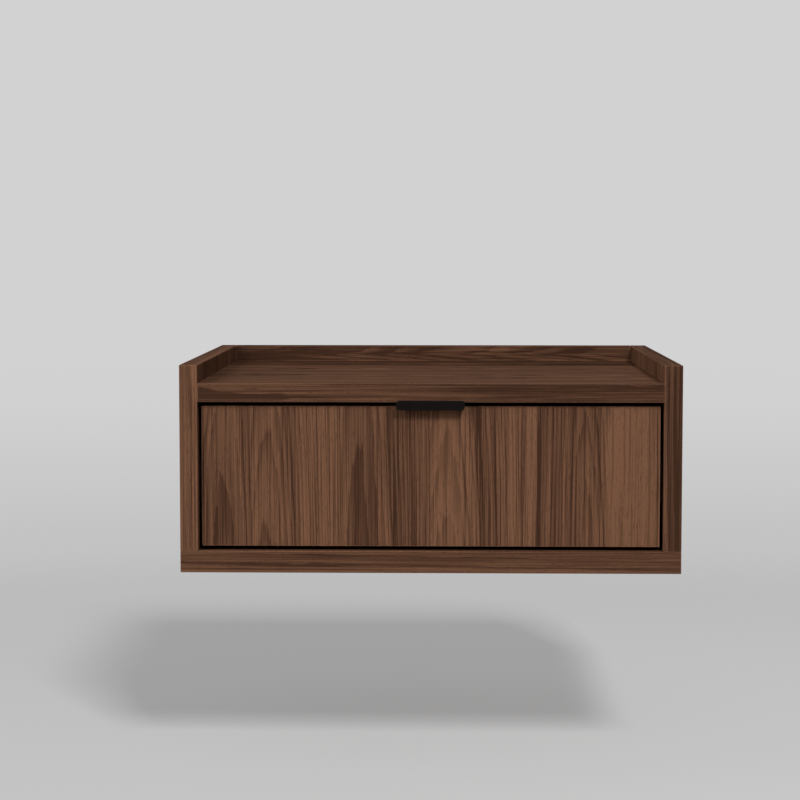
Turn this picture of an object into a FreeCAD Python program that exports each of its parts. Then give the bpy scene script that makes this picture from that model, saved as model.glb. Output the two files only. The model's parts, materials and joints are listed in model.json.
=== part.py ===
"""A wall-hung walnut cabinet with one inset drawer, in millimetres.

+Z is up, the front faces -Y and the wall is the plane y = 0. The origin lies on the wall, midway
between the two screw holes of the wall rail.
"""
import FreeCAD, Part
import os
import re

import Sketcher

SIZES = {
    # Carcass boards
    "cabinet_width": 500,
    "cabinet_depth": 400,
    "base_thick": 22,
    "side_thick": 18,
    "top_thick": 19,
    "opening_height": 149,
    "gallery_height": 18,
    "gallery_thick": 18,
    "arris": 0.7,
    # Back panel and hanging stretcher
    "back_thick": 6,
    "back_groove": 6,
    "groove_play": 0.1,
    "stretcher_thick": 18,
    "stretcher_height": 70,
    # Interlocking hanging rails
    "rail_sheet": 2.5,
    "rail_play": 0.1,
    "rail_flange": 30,
    "rail_hook": 15,
    "rail_end_gap": 12,
    "rail_top_gap": 7,
    "rail_tip_gap": 1,
    "wall_hole_dia": 6.5,
    "wall_hole_inset": 17,
    "rail_screw_dia": 4,
    "rail_screw_head": 8,
    "rail_screw_bite": 14,
    # Dowels and long screws of the carcass
    "fit_play": 0.05,
    "dowel_dia": 8,
    "dowel_side_bite": 11,
    "dowel_board_bite": 20,
    "gallery_dowel_dia": 6,
    "gallery_dowel_bite": 10,
    "base_screw_dia": 7,
    "base_screw_head": 10,
    "base_screw_head_deep": 4,
    "base_screw_bite": 27,
    # Drawer front and its edge pull
    "front_thick": 18,
    "front_setback": 6,
    "gap_side": 3.2,
    "gap_bottom": 4,
    "pull_sheet": 2.5,
    "pull_clear": 1.5,
    "pull_length": 68,
    "pull_reach": 5,
    "pull_drop": 6,
    "pull_rise": 3.5,
    "pull_inset": 2,
    "pull_lip_corner": 3.2,
    "pull_seat_corner": 4,
    "pull_bend": 0.8,
    "pull_round": 0.6,
    "pull_screw_dia": 3.5,
    "pull_screw_head": 6.5,
    "pull_screw_bite": 14,
    # Drawer box
    "box_rear_gap": 41.7,
    "box_lift": 14,
    "box_top_gap": 15,
    "box_thick": 12,
    "box_arris": 0.8,
    "bottom_thick": 6,
    "bottom_rise": 10,
    "bottom_groove": 6,
    "peg_dia": 6,
    "peg_bite": 18,
    "front_screw_dia": 4,
    "front_screw_head": 8,
    "front_screw_head_high": 2.4,
    "front_screw_bite": 12,
    # Drawer runners
    "runner_thick": 13,
    "runner_height": 45,
    "runner_rise": 55,
    "runner_sheet": 1.2,
    "runner_web_gap": 1,
    "runner_lip": 2.7,
    "runner_bend": 0.5,
    "cabinet_member_deep": 7.5,
    "middle_mouth_gap": 0.3,
    "drawer_member_deep": 7.8,
    "ball_dia": 3.2,
    "ball_play": 0.2,
    "cage_sheet": 0.5,
    "cage_strip": 1.2,
    "cage_play": 0.25,
    "pocket_play": 0.15,
    "cage_end_gap": 5,
    "cage_end": 10,
    "stop_length": 6,
    "stop_height": 14,
    "stop_gap": 0.3,
    "runner_screw_dia": 3.5,
    "runner_screw_head": 5.8,
    "cabinet_screw_bite": 12,
    "drawer_screw_bite": 9,
    # Levers that let the drawer off its runners
    "lever_thick": 3,
    "lever_height": 7,
    "lever_pad_height": 12,
    "lever_pad_length": 14,
    "lever_front_arm": 40,
    "lever_rear_arm": 12,
    "lever_round": 1,
    "lever_play": 0.3,
    "lever_pin_dia": 3,
    "lever_pin_head": 5,
    "lever_pin_head_high": 1,
}

BALLS_PER_ROW = 7
HEX_SIDES = 6

# Places along a board or rail, as shares of its length
DEPTH_SHARES = (0.15, 0.5, 0.85)
GALLERY_DOWEL_SHARES = (-0.4, 0.0, 0.4)
STRETCHER_DOWEL_SHARES = (0.25, 0.75)
RAIL_SCREW_SHARES = (-0.42, -0.14, 0.14, 0.42)
PEG_SHARES = (0.25, 0.7, 0.9)
RUNNER_SCREW_SHARES = (0.08, 0.5, 0.92)
FRONT_SCREW_ACROSS_SHARES = (-0.33, 0.33)
FRONT_SCREW_UP_SHARES = (0.3, 0.75)
PULL_SCREW_SHARES = (-0.32, 0.32)
LEVER_PIVOT_SHARE = 0.42
# Width across the corners and depth of a hex socket, as shares of the head's and screw's diameter
SOCKET_WIDTH_SHARE = 0.55
SOCKET_DEPTH_SHARE = 0.4
# Most of the pull's lip that its rounded corners may take up, as a share of its height past the plate
LIP_CORNER_SHARE = 0.95

# Levels of the carcass, from the wall screws up and down
OPENING_TOP = "(1.5*rail_flange + rail_hook + rail_top_gap)"
OPENING_BOTTOM = f"({OPENING_TOP} - opening_height)"
UNDERSIDE = f"({OPENING_BOTTOM} - base_thick)"
TRAY = f"({OPENING_TOP} + top_thick)"
RIM = f"({TRAY} + gallery_height)"
INNER_HALF = "(cabinet_width/2 - side_thick)"
INNER_WIDTH = f"(2*{INNER_HALF})"
FACE = "(-cabinet_depth)"

# The rails, the stretcher and the back panel, from the wall forwards
RAIL_STEP = "(rail_sheet + rail_play)"
STRETCHER_REAR = f"(-3*{RAIL_STEP} - rail_sheet)"
STRETCHER_FRONT = f"({STRETCHER_REAR} - stretcher_thick)"
BACK_FRONT = f"({STRETCHER_FRONT} - back_thick)"
STRETCHER_LOW = f"({OPENING_TOP} - stretcher_height)"
RAIL_LENGTH = f"({INNER_WIDTH} - 2*rail_end_gap)"
HOOK_FOOT = "(rail_flange/2)"
HOOK_TOP = f"({HOOK_FOOT} + rail_hook)"

# The drawer front, the box behind it and the middle of the runners
FRONT_FACE = f"({FACE} + front_setback)"
FRONT_REAR = f"({FRONT_FACE} + front_thick)"
FRONT_HALF = f"({INNER_HALF} - gap_side)"
FRONT_LOW = f"({OPENING_BOTTOM} + gap_bottom)"
FRONT_HIGH = f"({OPENING_TOP} - pull_clear - pull_sheet)"
BOX_HALF = f"({INNER_HALF} - runner_thick)"
BOX_INNER = f"({BOX_HALF} - box_thick)"
BOX_REAR = f"({BACK_FRONT} - box_rear_gap)"
BOX_LENGTH = f"({BOX_REAR} - {FRONT_REAR})"
BOX_LOW = f"({OPENING_BOTTOM} + box_lift)"
BOX_HIGH = f"({OPENING_TOP} - box_top_gap)"
BOX_HEIGHT = f"({BOX_HIGH} - {BOX_LOW})"
BOTTOM_LOW = f"({BOX_LOW} + bottom_rise)"
RUNNER_LEVEL = f"({BOX_LOW} + runner_rise)"

doc = FreeCAD.newDocument("hanging_cabinet")
sheet = doc.addObject("Spreadsheet::Sheet", "sizes")
for row, (alias, number) in enumerate(SIZES.items(), start=1):
    sheet.set(f"A{row}", alias)
    sheet.set(f"B{row}", str(number))
    sheet.setAlias(f"B{row}", alias)
doc.recompute()

nodes = []


def tied(formula):
    """The formula with each size in it pointing at its cell of the sheet."""
    return re.sub(r"[a-z_]+", lambda word: f"sizes.{word[0]}" if word[0] in SIZES else word[0], formula)


def bind(item, path, formula):
    """Tie a property of an object to a formula of sizes."""
    item.setExpression(path, tied(formula))


def value(formula):
    """What a formula of sizes comes to now, in millimetres."""
    return float(sheet.evalExpression(tied(formula)))


def node(item):
    """Keep an object as one of the cabinet's pieces, to be written to its own file."""
    nodes.append(item)
    return item


# Sketches

SKETCH_PLANES = {"X": "YZ_Plane", "Y": "XZ_Plane", "Z": "XY_Plane"}


def sketch_across(body, axis, level):
    """A sketch square to an axis, at a level along it. The plane square to Y faces -Y."""
    flat = body.newObject("Sketcher::SketchObject", f"{body.Name}_sketch")
    plane = next(feature for feature in body.Origin.OriginFeatures if feature.Role == SKETCH_PLANES[axis])
    flat.AttachmentSupport = [(plane, "")]
    flat.MapMode = "FlatFace"
    sign = "-" if axis == "Y" else ""
    bind(flat, "AttachmentOffset.Base.z", f"{sign}{level}")
    return flat


def pin(flat, geometry, point, place):
    """Hold a point of a sketch at two formulas, measured from the sketch's origin."""
    for kind, formula in zip(("DistanceX", "DistanceY"), place):
        rule = Sketcher.Constraint(kind, -1, 1, geometry, point, value(formula))
        bind(flat, f"Constraints[{flat.addConstraint(rule)}]", formula)


def polygon(flat, places):
    """A closed outline of straight lines through the places."""
    corners = [FreeCAD.Vector(value(across), value(up), 0) for across, up in places]
    count = len(corners)
    for index in range(count):
        flat.addGeometry(Part.LineSegment(corners[index], corners[(index + 1) % count]))
    for index in range(count):
        flat.addConstraint(Sketcher.Constraint("Coincident", index, 2, (index + 1) % count, 1))
        pin(flat, index, 1, places[index])


def circles(flat, places, diameter):
    """A circle of one diameter round each place."""
    for across, up in places:
        centre = FreeCAD.Vector(value(across), value(up), 0)
        ring = flat.addGeometry(Part.Circle(centre, FreeCAD.Vector(0, 0, 1), value(diameter)/2))
        pin(flat, ring, 3, (across, up))
        rule = Sketcher.Constraint("Diameter", ring, value(diameter))
        bind(flat, f"Constraints[{flat.addConstraint(rule)}]", diameter)


def rectangle(left, right, low, high):
    """The four corners of a rectangle."""
    return [(left, low), (right, low), (right, high), (left, high)]


# Features of a body

def prism(label, axis, low, high, places):
    """A body with a straight-sided outline, padded from low to high along an axis."""
    body = doc.addObject("PartDesign::Body", label)
    flat = sketch_across(body, axis, high if axis == "Y" else low)
    polygon(flat, places)
    pad = body.newObject("PartDesign::Pad", f"{label}_pad")
    pad.Profile = flat
    bind(pad, "Length", f"{high} - {low}")
    doc.recompute()
    return body


def take_out(body, axis, level, depth, draw):
    """Cut what is sketched on a plane to a depth on both of its sides, or right through without one."""
    before = body.Tip.Shape.Volume
    flat = sketch_across(body, axis, level)
    draw(flat)
    pocket = body.newObject("PartDesign::Pocket", f"{body.Name}_pocket")
    pocket.Profile = flat
    pocket.SideType = "Symmetric"
    if depth:
        bind(pocket, "Length", f"2*({depth})")
    else:
        pocket.Type = "ThroughAll"
    doc.recompute()
    if not pocket.Shape.Volume < before:
        raise RuntimeError(f"{pocket.Name} cuts nothing")


def groove(body, axis, level, depth, places):
    """A straight-sided groove or opening."""
    take_out(body, axis, level, depth, lambda flat: polygon(flat, places))


def drill(body, axis, level, depth, places, diameter):
    """Round holes of one size, with the fit's play round what goes into them."""
    take_out(body, axis, level, depth, lambda flat: circles(flat, places, f"{diameter} + 2*fit_play"))


def fillet(body, radius, chosen=None):
    """Round the edges that a test picks, or all of them."""
    base = body.Tip
    edges = base.Shape.Edges
    names = [f"Edge{index}" for index, edge in enumerate(edges, start=1) if not chosen or chosen(edge)]
    rounding = body.newObject("PartDesign::Fillet", f"{body.Name}_rounding")
    rounding.Base = (base, names)
    bind(rounding, "Radius", radius)
    doc.recompute()


def same(first, second):
    """Whether two places are one, within the modeller's tolerance."""
    return abs(first - second) < Part.Precision.confusion()


def runs(edge, heading):
    """Whether an edge is straight and lies along a heading."""
    if edge.Curve.TypeId != "Part::GeomLine":
        return False
    return same(abs(edge.Curve.Direction.dot(DIRECTIONS[heading])), 1)


def lies_at(edge, depth, level):
    """Whether the middle of an edge has this depth and level."""
    return same(edge.CenterOfMass.y, depth) and same(edge.CenterOfMass.z, level)


def board(label, axis, low, high, places, radius="arris"):
    """A board with its edges eased."""
    body = prism(label, axis, low, high, places)
    fillet(body, radius)
    return node(body)


DIRECTIONS = {
    "+X": FreeCAD.Vector(1, 0, 0),
    "-X": FreeCAD.Vector(-1, 0, 0),
    "+Y": FreeCAD.Vector(0, 1, 0),
    "-Y": FreeCAD.Vector(0, -1, 0),
    "+Z": FreeCAD.Vector(0, 0, 1),
    "-Z": FreeCAD.Vector(0, 0, -1),
}


def aim(item, heading, place):
    """Turn an object's own Z along a heading and tie its base to a place."""
    turn = FreeCAD.Rotation(DIRECTIONS["+Z"], DIRECTIONS[heading])
    item.Placement = FreeCAD.Placement(FreeCAD.Vector(), turn)
    for letter, formula in zip("xyz", place):
        bind(item, f"Placement.Base.{letter}", formula)


def countersink(body, heading, place, head, shank, depth):
    """A cone-shaped seat for a screw's head, widest at its place and narrowing along the heading."""
    before = body.Tip.Shape.Volume
    seat = body.newObject("PartDesign::SubtractiveCone", f"{body.Name}_seat")
    aim(seat, heading, place)
    bind(seat, "Radius1", f"{head}/2 + fit_play")
    bind(seat, "Radius2", f"{shank}/2 + fit_play")
    bind(seat, "Height", depth)
    doc.recompute()
    if not seat.Shape.Volume < before:
        raise RuntimeError(f"{seat.Name} cuts nothing")


def mirrored(label, source):
    """The right-hand twin of a left-hand piece."""
    twin = doc.addObject("Part::Mirroring", label)
    twin.Source = source
    twin.Normal = DIRECTIONS["+X"]
    return node(twin)


# Fasteners and balls, each group one piece

def along(place, heading, distance):
    """A place moved along a heading by a formula."""
    sign, letter = heading
    return tuple(
        f"({formula} {sign} ({distance}))" if letter == axis else formula
        for axis, formula in zip("XYZ", place)
    )


def rod(name, heading, place, diameter, length):
    """A round rod from a place along a heading."""
    bar = doc.addObject("Part::Cylinder", name)
    aim(bar, heading, place)
    bind(bar, "Radius", f"{diameter}/2")
    bind(bar, "Height", length)
    return bar


def fuse(name, first, second):
    joined = doc.addObject("Part::Fuse", name)
    joined.Base = first
    joined.Tool = second
    return joined


def with_socket(name, solid, heading, place, head, shank):
    """A screw with a hex socket sunk into its head at a place, along the heading that it drives in."""
    socket = doc.addObject("Part::Prism", f"{name}_socket")
    socket.Polygon = HEX_SIDES
    aim(socket, heading, place)
    bind(socket, "Circumradius", f"{SOCKET_WIDTH_SHARE}*{head}/2")
    bind(socket, "Height", f"{SOCKET_DEPTH_SHARE}*{shank}")
    screw = doc.addObject("Part::Cut", name)
    screw.Base = solid
    screw.Tool = socket
    return screw


def flat_screw(name, heading, place, head, shank, head_deep, length):
    """A screw whose cone-shaped head lies flush at a place, driven along a heading."""
    cone = doc.addObject("Part::Cone", f"{name}_head")
    aim(cone, heading, place)
    bind(cone, "Radius1", f"{head}/2")
    bind(cone, "Radius2", f"{shank}/2")
    bind(cone, "Height", head_deep)
    bar = rod(f"{name}_shank", heading, along(place, heading, head_deep), shank, f"{length} - {head_deep}")
    return with_socket(name, fuse(f"{name}_body", cone, bar), heading, place, head, shank)


def round_screw(name, heading, place, head, shank, head_deep, length):
    """A screw with a straight-sided head, whose top is at a place, driven along a heading."""
    top = rod(f"{name}_head", heading, place, head, head_deep)
    bar = rod(f"{name}_shank", heading, along(place, heading, head_deep), shank, f"{length} - {head_deep}")
    return with_socket(name, fuse(f"{name}_body", top, bar), heading, place, head, shank)


def group(label, members):
    """Like pieces that share one node."""
    together = doc.addObject("Part::Compound", label)
    together.Links = members
    return node(together)


def both_sides(places):
    """Places on the left, and the same places on the right."""
    return [(side, place) for side in ("-", "+") for place in places]


# Carcass boards, with their grooves and holes

DEPTH_PLACES = [f"(-{share}*cabinet_depth)" for share in DEPTH_SHARES]
SIDE_MIDDLE = "(cabinet_width/2 - side_thick/2)"
TOP_MIDDLE = f"({OPENING_TOP} + top_thick/2)"
STRETCHER_MIDDLE = f"({STRETCHER_REAR} - stretcher_thick/2)"
STRETCHER_DOWEL_PLACES = [
    (STRETCHER_MIDDLE, f"({STRETCHER_LOW} + {share}*stretcher_height)") for share in STRETCHER_DOWEL_SHARES
]
TOP_DOWEL_PLACES = [(place, TOP_MIDDLE) for place in DEPTH_PLACES]
BASE_SCREW_PLACES = [(f"({side}{SIDE_MIDDLE})", place) for side, place in both_sides(DEPTH_PLACES)]
GALLERY_DOWEL_PLACES = [(f"({share}*{INNER_WIDTH})", "(-gallery_thick/2)") for share in GALLERY_DOWEL_SHARES]
PANEL_SLOT = (f"({BACK_FRONT} - groove_play)", f"({STRETCHER_FRONT} + groove_play)")
RUNNER_PLACES = [f"({FRONT_REAR} + {share}*{BOX_LENGTH})" for share in RUNNER_SCREW_SHARES]
RUNNER_HOLES = [(place, RUNNER_LEVEL) for place in RUNNER_PLACES]


def base_board():
    outline = rectangle("(-cabinet_width/2)", "(cabinet_width/2)", FACE, "0")
    base = board("base_board", "Z", UNDERSIDE, OPENING_BOTTOM, outline)
    slot = rectangle(f"(-{INNER_HALF} - back_groove)", f"({INNER_HALF} + back_groove)", *PANEL_SLOT)
    groove(base, "Z", OPENING_BOTTOM, "back_groove", slot)
    drill(base, "Z", UNDERSIDE, "base_thick", BASE_SCREW_PLACES, "base_screw_dia")
    drill(base, "Z", UNDERSIDE, "base_screw_head_deep", BASE_SCREW_PLACES, "base_screw_head")


def side_boards():
    inner_face = f"(-{INNER_HALF})"
    left = board("side_board_left", "X", "(-cabinet_width/2)", inner_face,
                 rectangle(FACE, "0", OPENING_BOTTOM, RIM))
    slot = rectangle(*PANEL_SLOT, f"({OPENING_BOTTOM} - back_groove)", f"({OPENING_TOP} + back_groove)")
    groove(left, "X", inner_face, "back_groove", slot)
    drill(left, "X", inner_face, "dowel_side_bite", TOP_DOWEL_PLACES + STRETCHER_DOWEL_PLACES, "dowel_dia")
    drill(left, "X", inner_face, "cabinet_screw_bite", RUNNER_HOLES, "runner_screw_dia")
    screws = [(f"(-{SIDE_MIDDLE})", place) for place in DEPTH_PLACES]
    drill(left, "Z", OPENING_BOTTOM, "base_screw_bite", screws, "base_screw_dia")
    mirrored("side_board_right", left)


def top_board():
    outline = rectangle(f"(-{INNER_HALF})", INNER_HALF, FACE, "0")
    top = board("top_board", "Z", OPENING_TOP, TRAY, outline)
    slot = rectangle(f"(-{INNER_HALF} - back_groove)", f"({INNER_HALF} + back_groove)", *PANEL_SLOT)
    groove(top, "Z", OPENING_TOP, "back_groove", slot)
    for side in ("-", "+"):
        drill(top, "X", f"({side}{INNER_HALF})", "dowel_board_bite", TOP_DOWEL_PLACES, "dowel_dia")
    drill(top, "Z", TRAY, "gallery_dowel_bite", GALLERY_DOWEL_PLACES, "gallery_dowel_dia")


def gallery_rail():
    outline = rectangle(f"(-{INNER_HALF})", INNER_HALF, TRAY, RIM)
    rail = board("gallery_rail", "Y", "(-gallery_thick)", "0", outline)
    drill(rail, "Z", TRAY, "gallery_dowel_bite", GALLERY_DOWEL_PLACES, "gallery_dowel_dia")


def back_panel():
    reach = "(back_groove - groove_play)"
    outline = rectangle(f"(-{INNER_HALF} - {reach})", f"({INNER_HALF} + {reach})",
                        f"({OPENING_BOTTOM} - {reach})", f"({OPENING_TOP} + {reach})")
    node(prism("back_panel", "Y", BACK_FRONT, STRETCHER_FRONT, outline))


def hanging_stretcher():
    outline = rectangle(f"(-{INNER_HALF})", INNER_HALF, STRETCHER_LOW, OPENING_TOP)
    stretcher = board("hanging_stretcher", "Y", STRETCHER_FRONT, STRETCHER_REAR, outline)
    for side in ("-", "+"):
        end = f"({side}{INNER_HALF})"
        drill(stretcher, "X", end, "dowel_board_bite", STRETCHER_DOWEL_PLACES, "dowel_dia")
    drill(stretcher, "Y", STRETCHER_REAR, "rail_screw_bite", RAIL_SCREW_PLACES, "rail_screw_dia")


def carcass_fasteners():
    screw_length = "(base_thick + base_screw_bite)"
    group("base_screws", [
        round_screw(f"base_screw_{index}", "+Z", (across, deep, UNDERSIDE), "base_screw_head",
                    "base_screw_dia", "base_screw_head_deep", screw_length)
        for index, (across, deep) in enumerate(BASE_SCREW_PLACES)
    ])
    dowel_length = "(dowel_side_bite + dowel_board_bite)"
    start = f"({INNER_HALF} + dowel_side_bite)"
    dowels = (("top_board_dowels", TOP_DOWEL_PLACES), ("stretcher_dowels", STRETCHER_DOWEL_PLACES))
    for label, places in dowels:
        group(label, [
            rod(f"{label}_{index}", "+X" if side == "-" else "-X", (f"({side}{start})", *place),
                "dowel_dia", dowel_length)
            for index, (side, place) in enumerate(both_sides(places))
        ])
    group("gallery_dowels", [
        rod(f"gallery_dowel_{index}", "+Z", (*place, f"({TRAY} - gallery_dowel_bite)"),
            "gallery_dowel_dia", "2*gallery_dowel_bite")
        for index, place in enumerate(GALLERY_DOWEL_PLACES)
    ])


# Hanging rails: two bent strips, each with a flange, a step and a hooked leg

RAIL_SCREW_LEVEL = f"({HOOK_TOP} + rail_flange/2)"
RAIL_SCREW_PLACES = [(f"({share}*{RAIL_LENGTH})", RAIL_SCREW_LEVEL) for share in RAIL_SCREW_SHARES]


def wall_rail():
    leg_rear = f"(-2*{RAIL_STEP})"
    leg_front = f"({leg_rear} - rail_sheet)"
    step_low = f"({HOOK_FOOT} - rail_sheet)"
    outline = [
        ("0", f"(-{HOOK_FOOT})"),
        ("0", HOOK_FOOT),
        (leg_rear, HOOK_FOOT),
        (leg_rear, HOOK_TOP),
        (leg_front, HOOK_TOP),
        (leg_front, step_low),
        ("(-rail_sheet)", step_low),
        ("(-rail_sheet)", f"(-{HOOK_FOOT})"),
    ]
    rail = node(prism("wall_rail", "X", f"(-{RAIL_LENGTH}/2)", f"({RAIL_LENGTH}/2)", outline))
    hole = f"({RAIL_LENGTH}/2 - wall_hole_inset)"
    places = [(f"(-{hole})", "0"), (hole, "0")]
    take_out(rail, "Y", "0", "2*rail_sheet", lambda flat: circles(flat, places, "wall_hole_dia"))


def cabinet_rail():
    flange_rear = f"({STRETCHER_REAR} + rail_sheet)"
    leg_rear = f"(-{RAIL_STEP})"
    leg_front = f"({leg_rear} - rail_sheet)"
    step_high = f"({HOOK_TOP} + rail_sheet)"
    flange_top = f"({HOOK_TOP} + rail_flange)"
    leg_tip = f"({HOOK_FOOT} + rail_tip_gap)"
    outline = [
        (STRETCHER_REAR, flange_top),
        (STRETCHER_REAR, HOOK_TOP),
        (leg_front, HOOK_TOP),
        (leg_front, leg_tip),
        (leg_rear, leg_tip),
        (leg_rear, step_high),
        (flange_rear, step_high),
        (flange_rear, flange_top),
    ]
    rail = node(prism("cabinet_rail", "X", f"(-{RAIL_LENGTH}/2)", f"({RAIL_LENGTH}/2)", outline))
    screws = []
    for index, (across, up) in enumerate(RAIL_SCREW_PLACES):
        place = (across, flange_rear, up)
        countersink(rail, "-Y", place, "rail_screw_head", "rail_screw_dia", "rail_sheet")
        screws.append(flat_screw(f"rail_screw_{index}", "-Y", place, "rail_screw_head", "rail_screw_dia",
                                 "rail_sheet", "(rail_sheet + rail_screw_bite)"))
    group("cabinet_rail_screws", screws)


# Drawer front and edge pull

PULL_TOP = f"({FRONT_HIGH} + pull_sheet)"
PULL_REAR = f"({FRONT_REAR} - pull_inset)"
PULL_FACE = f"({FACE} - pull_reach)"
LIP_LOW = f"({PULL_TOP} - pull_drop)"
LIP_TOP = f"({PULL_TOP} + pull_rise)"
PULL_SCREW_DEPTH = f"({FRONT_FACE}/2 + {PULL_REAR}/2)"
PULL_SCREW_PLACES = [(f"({share}*pull_length)", PULL_SCREW_DEPTH) for share in PULL_SCREW_SHARES]
FRONT_SCREW_PLACES = [
    (f"({across}*2*{BOX_INNER})", f"({BOX_LOW} + {up}*{BOX_HEIGHT})")
    for across in FRONT_SCREW_ACROSS_SHARES
    for up in FRONT_SCREW_UP_SHARES
]


def drawer_front():
    outline = rectangle(f"(-{FRONT_HALF})", FRONT_HALF, FRONT_LOW, FRONT_HIGH)
    front = board("drawer_front", "Y", FRONT_FACE, FRONT_REAR, outline)
    drill(front, "Y", FRONT_REAR, "front_screw_bite", FRONT_SCREW_PLACES, "front_screw_dia")
    drill(front, "Z", FRONT_HIGH, "pull_screw_bite", PULL_SCREW_PLACES, "pull_screw_dia")


def edge_pull():
    lip_rear = f"({PULL_FACE} + pull_sheet)"
    outline = [
        (PULL_REAR, PULL_TOP),
        (lip_rear, PULL_TOP),
        (lip_rear, LIP_TOP),
        (PULL_FACE, LIP_TOP),
        (PULL_FACE, LIP_LOW),
        (lip_rear, LIP_LOW),
        (lip_rear, FRONT_HIGH),
        (PULL_REAR, FRONT_HIGH),
    ]
    pull = node(prism("edge_pull", "X", "(-pull_length/2)", "(pull_length/2)", outline))
    rear = value(PULL_REAR)
    face = value(PULL_FACE)
    behind = value(lip_rear)

    for level, room in ((LIP_LOW, "(pull_drop - pull_sheet)"), (LIP_TOP, "pull_rise")):
        end = value(level)
        lip_corner = f"min(pull_lip_corner; {LIP_CORNER_SHARE}*{room})"
        fillet(pull, lip_corner, lambda edge: runs(edge, "+Y") and same(edge.CenterOfMass.z, end))
    fillet(pull, "pull_seat_corner", lambda edge: runs(edge, "+Z") and same(edge.CenterOfMass.y, rear))
    for level in (FRONT_HIGH, PULL_TOP):
        inner = value(level)
        fillet(pull, "pull_bend", lambda edge: runs(edge, "+X") and lies_at(edge, behind, inner))
    fillet(pull, "pull_round", lambda edge: same(edge.CenterOfMass.y, face))
    screws = []
    for index, place in enumerate(PULL_SCREW_PLACES):
        countersink(pull, "-Z", (*place, PULL_TOP), "pull_screw_head", "pull_screw_dia", "pull_sheet")
        screws.append(flat_screw(f"pull_screw_{index}", "-Z", (*place, PULL_TOP), "pull_screw_head",
                                 "pull_screw_dia", "pull_sheet", "(pull_sheet + pull_screw_bite)"))
    group("edge_pull_screws", screws)


# Drawer box

BOX_FRONT_REAR = f"({FRONT_REAR} + box_thick)"
BOX_BACK_FRONT = f"({BOX_REAR} - box_thick)"
PEG_DEPTHS = (f"({FRONT_REAR} + box_thick/2)", f"({BOX_REAR} - box_thick/2)")
PEG_LEVELS = [f"({BOX_LOW} + {share}*{BOX_HEIGHT})" for share in PEG_SHARES]
BOTTOM_SLOT = (f"({BOTTOM_LOW} - groove_play)", f"({BOTTOM_LOW} + bottom_thick + groove_play)")


def drawer_box_sides():
    outline = rectangle(FRONT_REAR, BOX_REAR, BOX_LOW, BOX_HIGH)
    left = board("drawer_box_side_left", "X", f"(-{BOX_HALF})", f"(-{BOX_INNER})", outline, "box_arris")
    slot = rectangle(f"({BOX_FRONT_REAR} - bottom_groove)", f"({BOX_BACK_FRONT} + bottom_groove)",
                     *BOTTOM_SLOT)
    groove(left, "X", f"(-{BOX_INNER})", "bottom_groove", slot)
    pegs = [(depth, level) for depth in PEG_DEPTHS for level in PEG_LEVELS]
    drill(left, "X", f"(-{BOX_HALF})", "box_thick", pegs, "peg_dia")
    drill(left, "X", f"(-{BOX_HALF})", "drawer_screw_bite", RUNNER_HOLES, "runner_screw_dia")
    mirrored("drawer_box_side_right", left)


def drawer_box_ends():
    outline = rectangle(f"(-{BOX_INNER})", BOX_INNER, BOX_LOW, BOX_HIGH)
    slot = rectangle(f"(-{BOX_INNER} - bottom_groove)", f"({BOX_INNER} + bottom_groove)", *BOTTOM_SLOT)
    ends = (
        ("drawer_box_front", FRONT_REAR, BOX_FRONT_REAR, BOX_FRONT_REAR, PEG_DEPTHS[0]),
        ("drawer_box_back", BOX_BACK_FRONT, BOX_REAR, BOX_BACK_FRONT, PEG_DEPTHS[1]),
    )
    for label, near, far, inner_face, peg_depth in ends:
        end = board(label, "Y", near, far, outline, "box_arris")
        groove(end, "Y", inner_face, "bottom_groove", slot)
        pegs = [(peg_depth, level) for level in PEG_LEVELS]
        for side in ("-", "+"):
            drill(end, "X", f"({side}{BOX_INNER})", "peg_bite", pegs, "peg_dia")
        if label == "drawer_box_front":
            drill(end, "Y", near, "box_thick", FRONT_SCREW_PLACES, "front_screw_dia")


def drawer_box_bottom():
    reach = "(bottom_groove - groove_play)"
    outline = rectangle(f"(-{BOX_INNER} - {reach})", f"({BOX_INNER} + {reach})",
                        f"({BOX_FRONT_REAR} - {reach})", f"({BOX_BACK_FRONT} + {reach})")
    node(prism("drawer_box_bottom", "Z", BOTTOM_LOW, f"({BOTTOM_LOW} + bottom_thick)", outline))


def drawer_fasteners():
    pegs = [(depth, level) for depth in PEG_DEPTHS for level in PEG_LEVELS]
    group("drawer_box_pegs", [
        rod(f"box_peg_{index}", "+X" if side == "-" else "-X", (f"({side}{BOX_HALF})", *place),
            "peg_dia", "(box_thick + peg_bite)")
        for index, (side, place) in enumerate(both_sides(pegs))
    ])
    head_top = f"({BOX_FRONT_REAR} + front_screw_head_high)"
    length = "(front_screw_head_high + box_thick + front_screw_bite)"
    group("drawer_front_screws", [
        round_screw(f"front_screw_{index}", "-Y", (across, head_top, up), "front_screw_head",
                    "front_screw_dia", "front_screw_head_high", length)
        for index, (across, up) in enumerate(FRONT_SCREW_PLACES)
    ])


# Drawer runners: three nested channels a side, with balls in cages above and below each inner one

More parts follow.
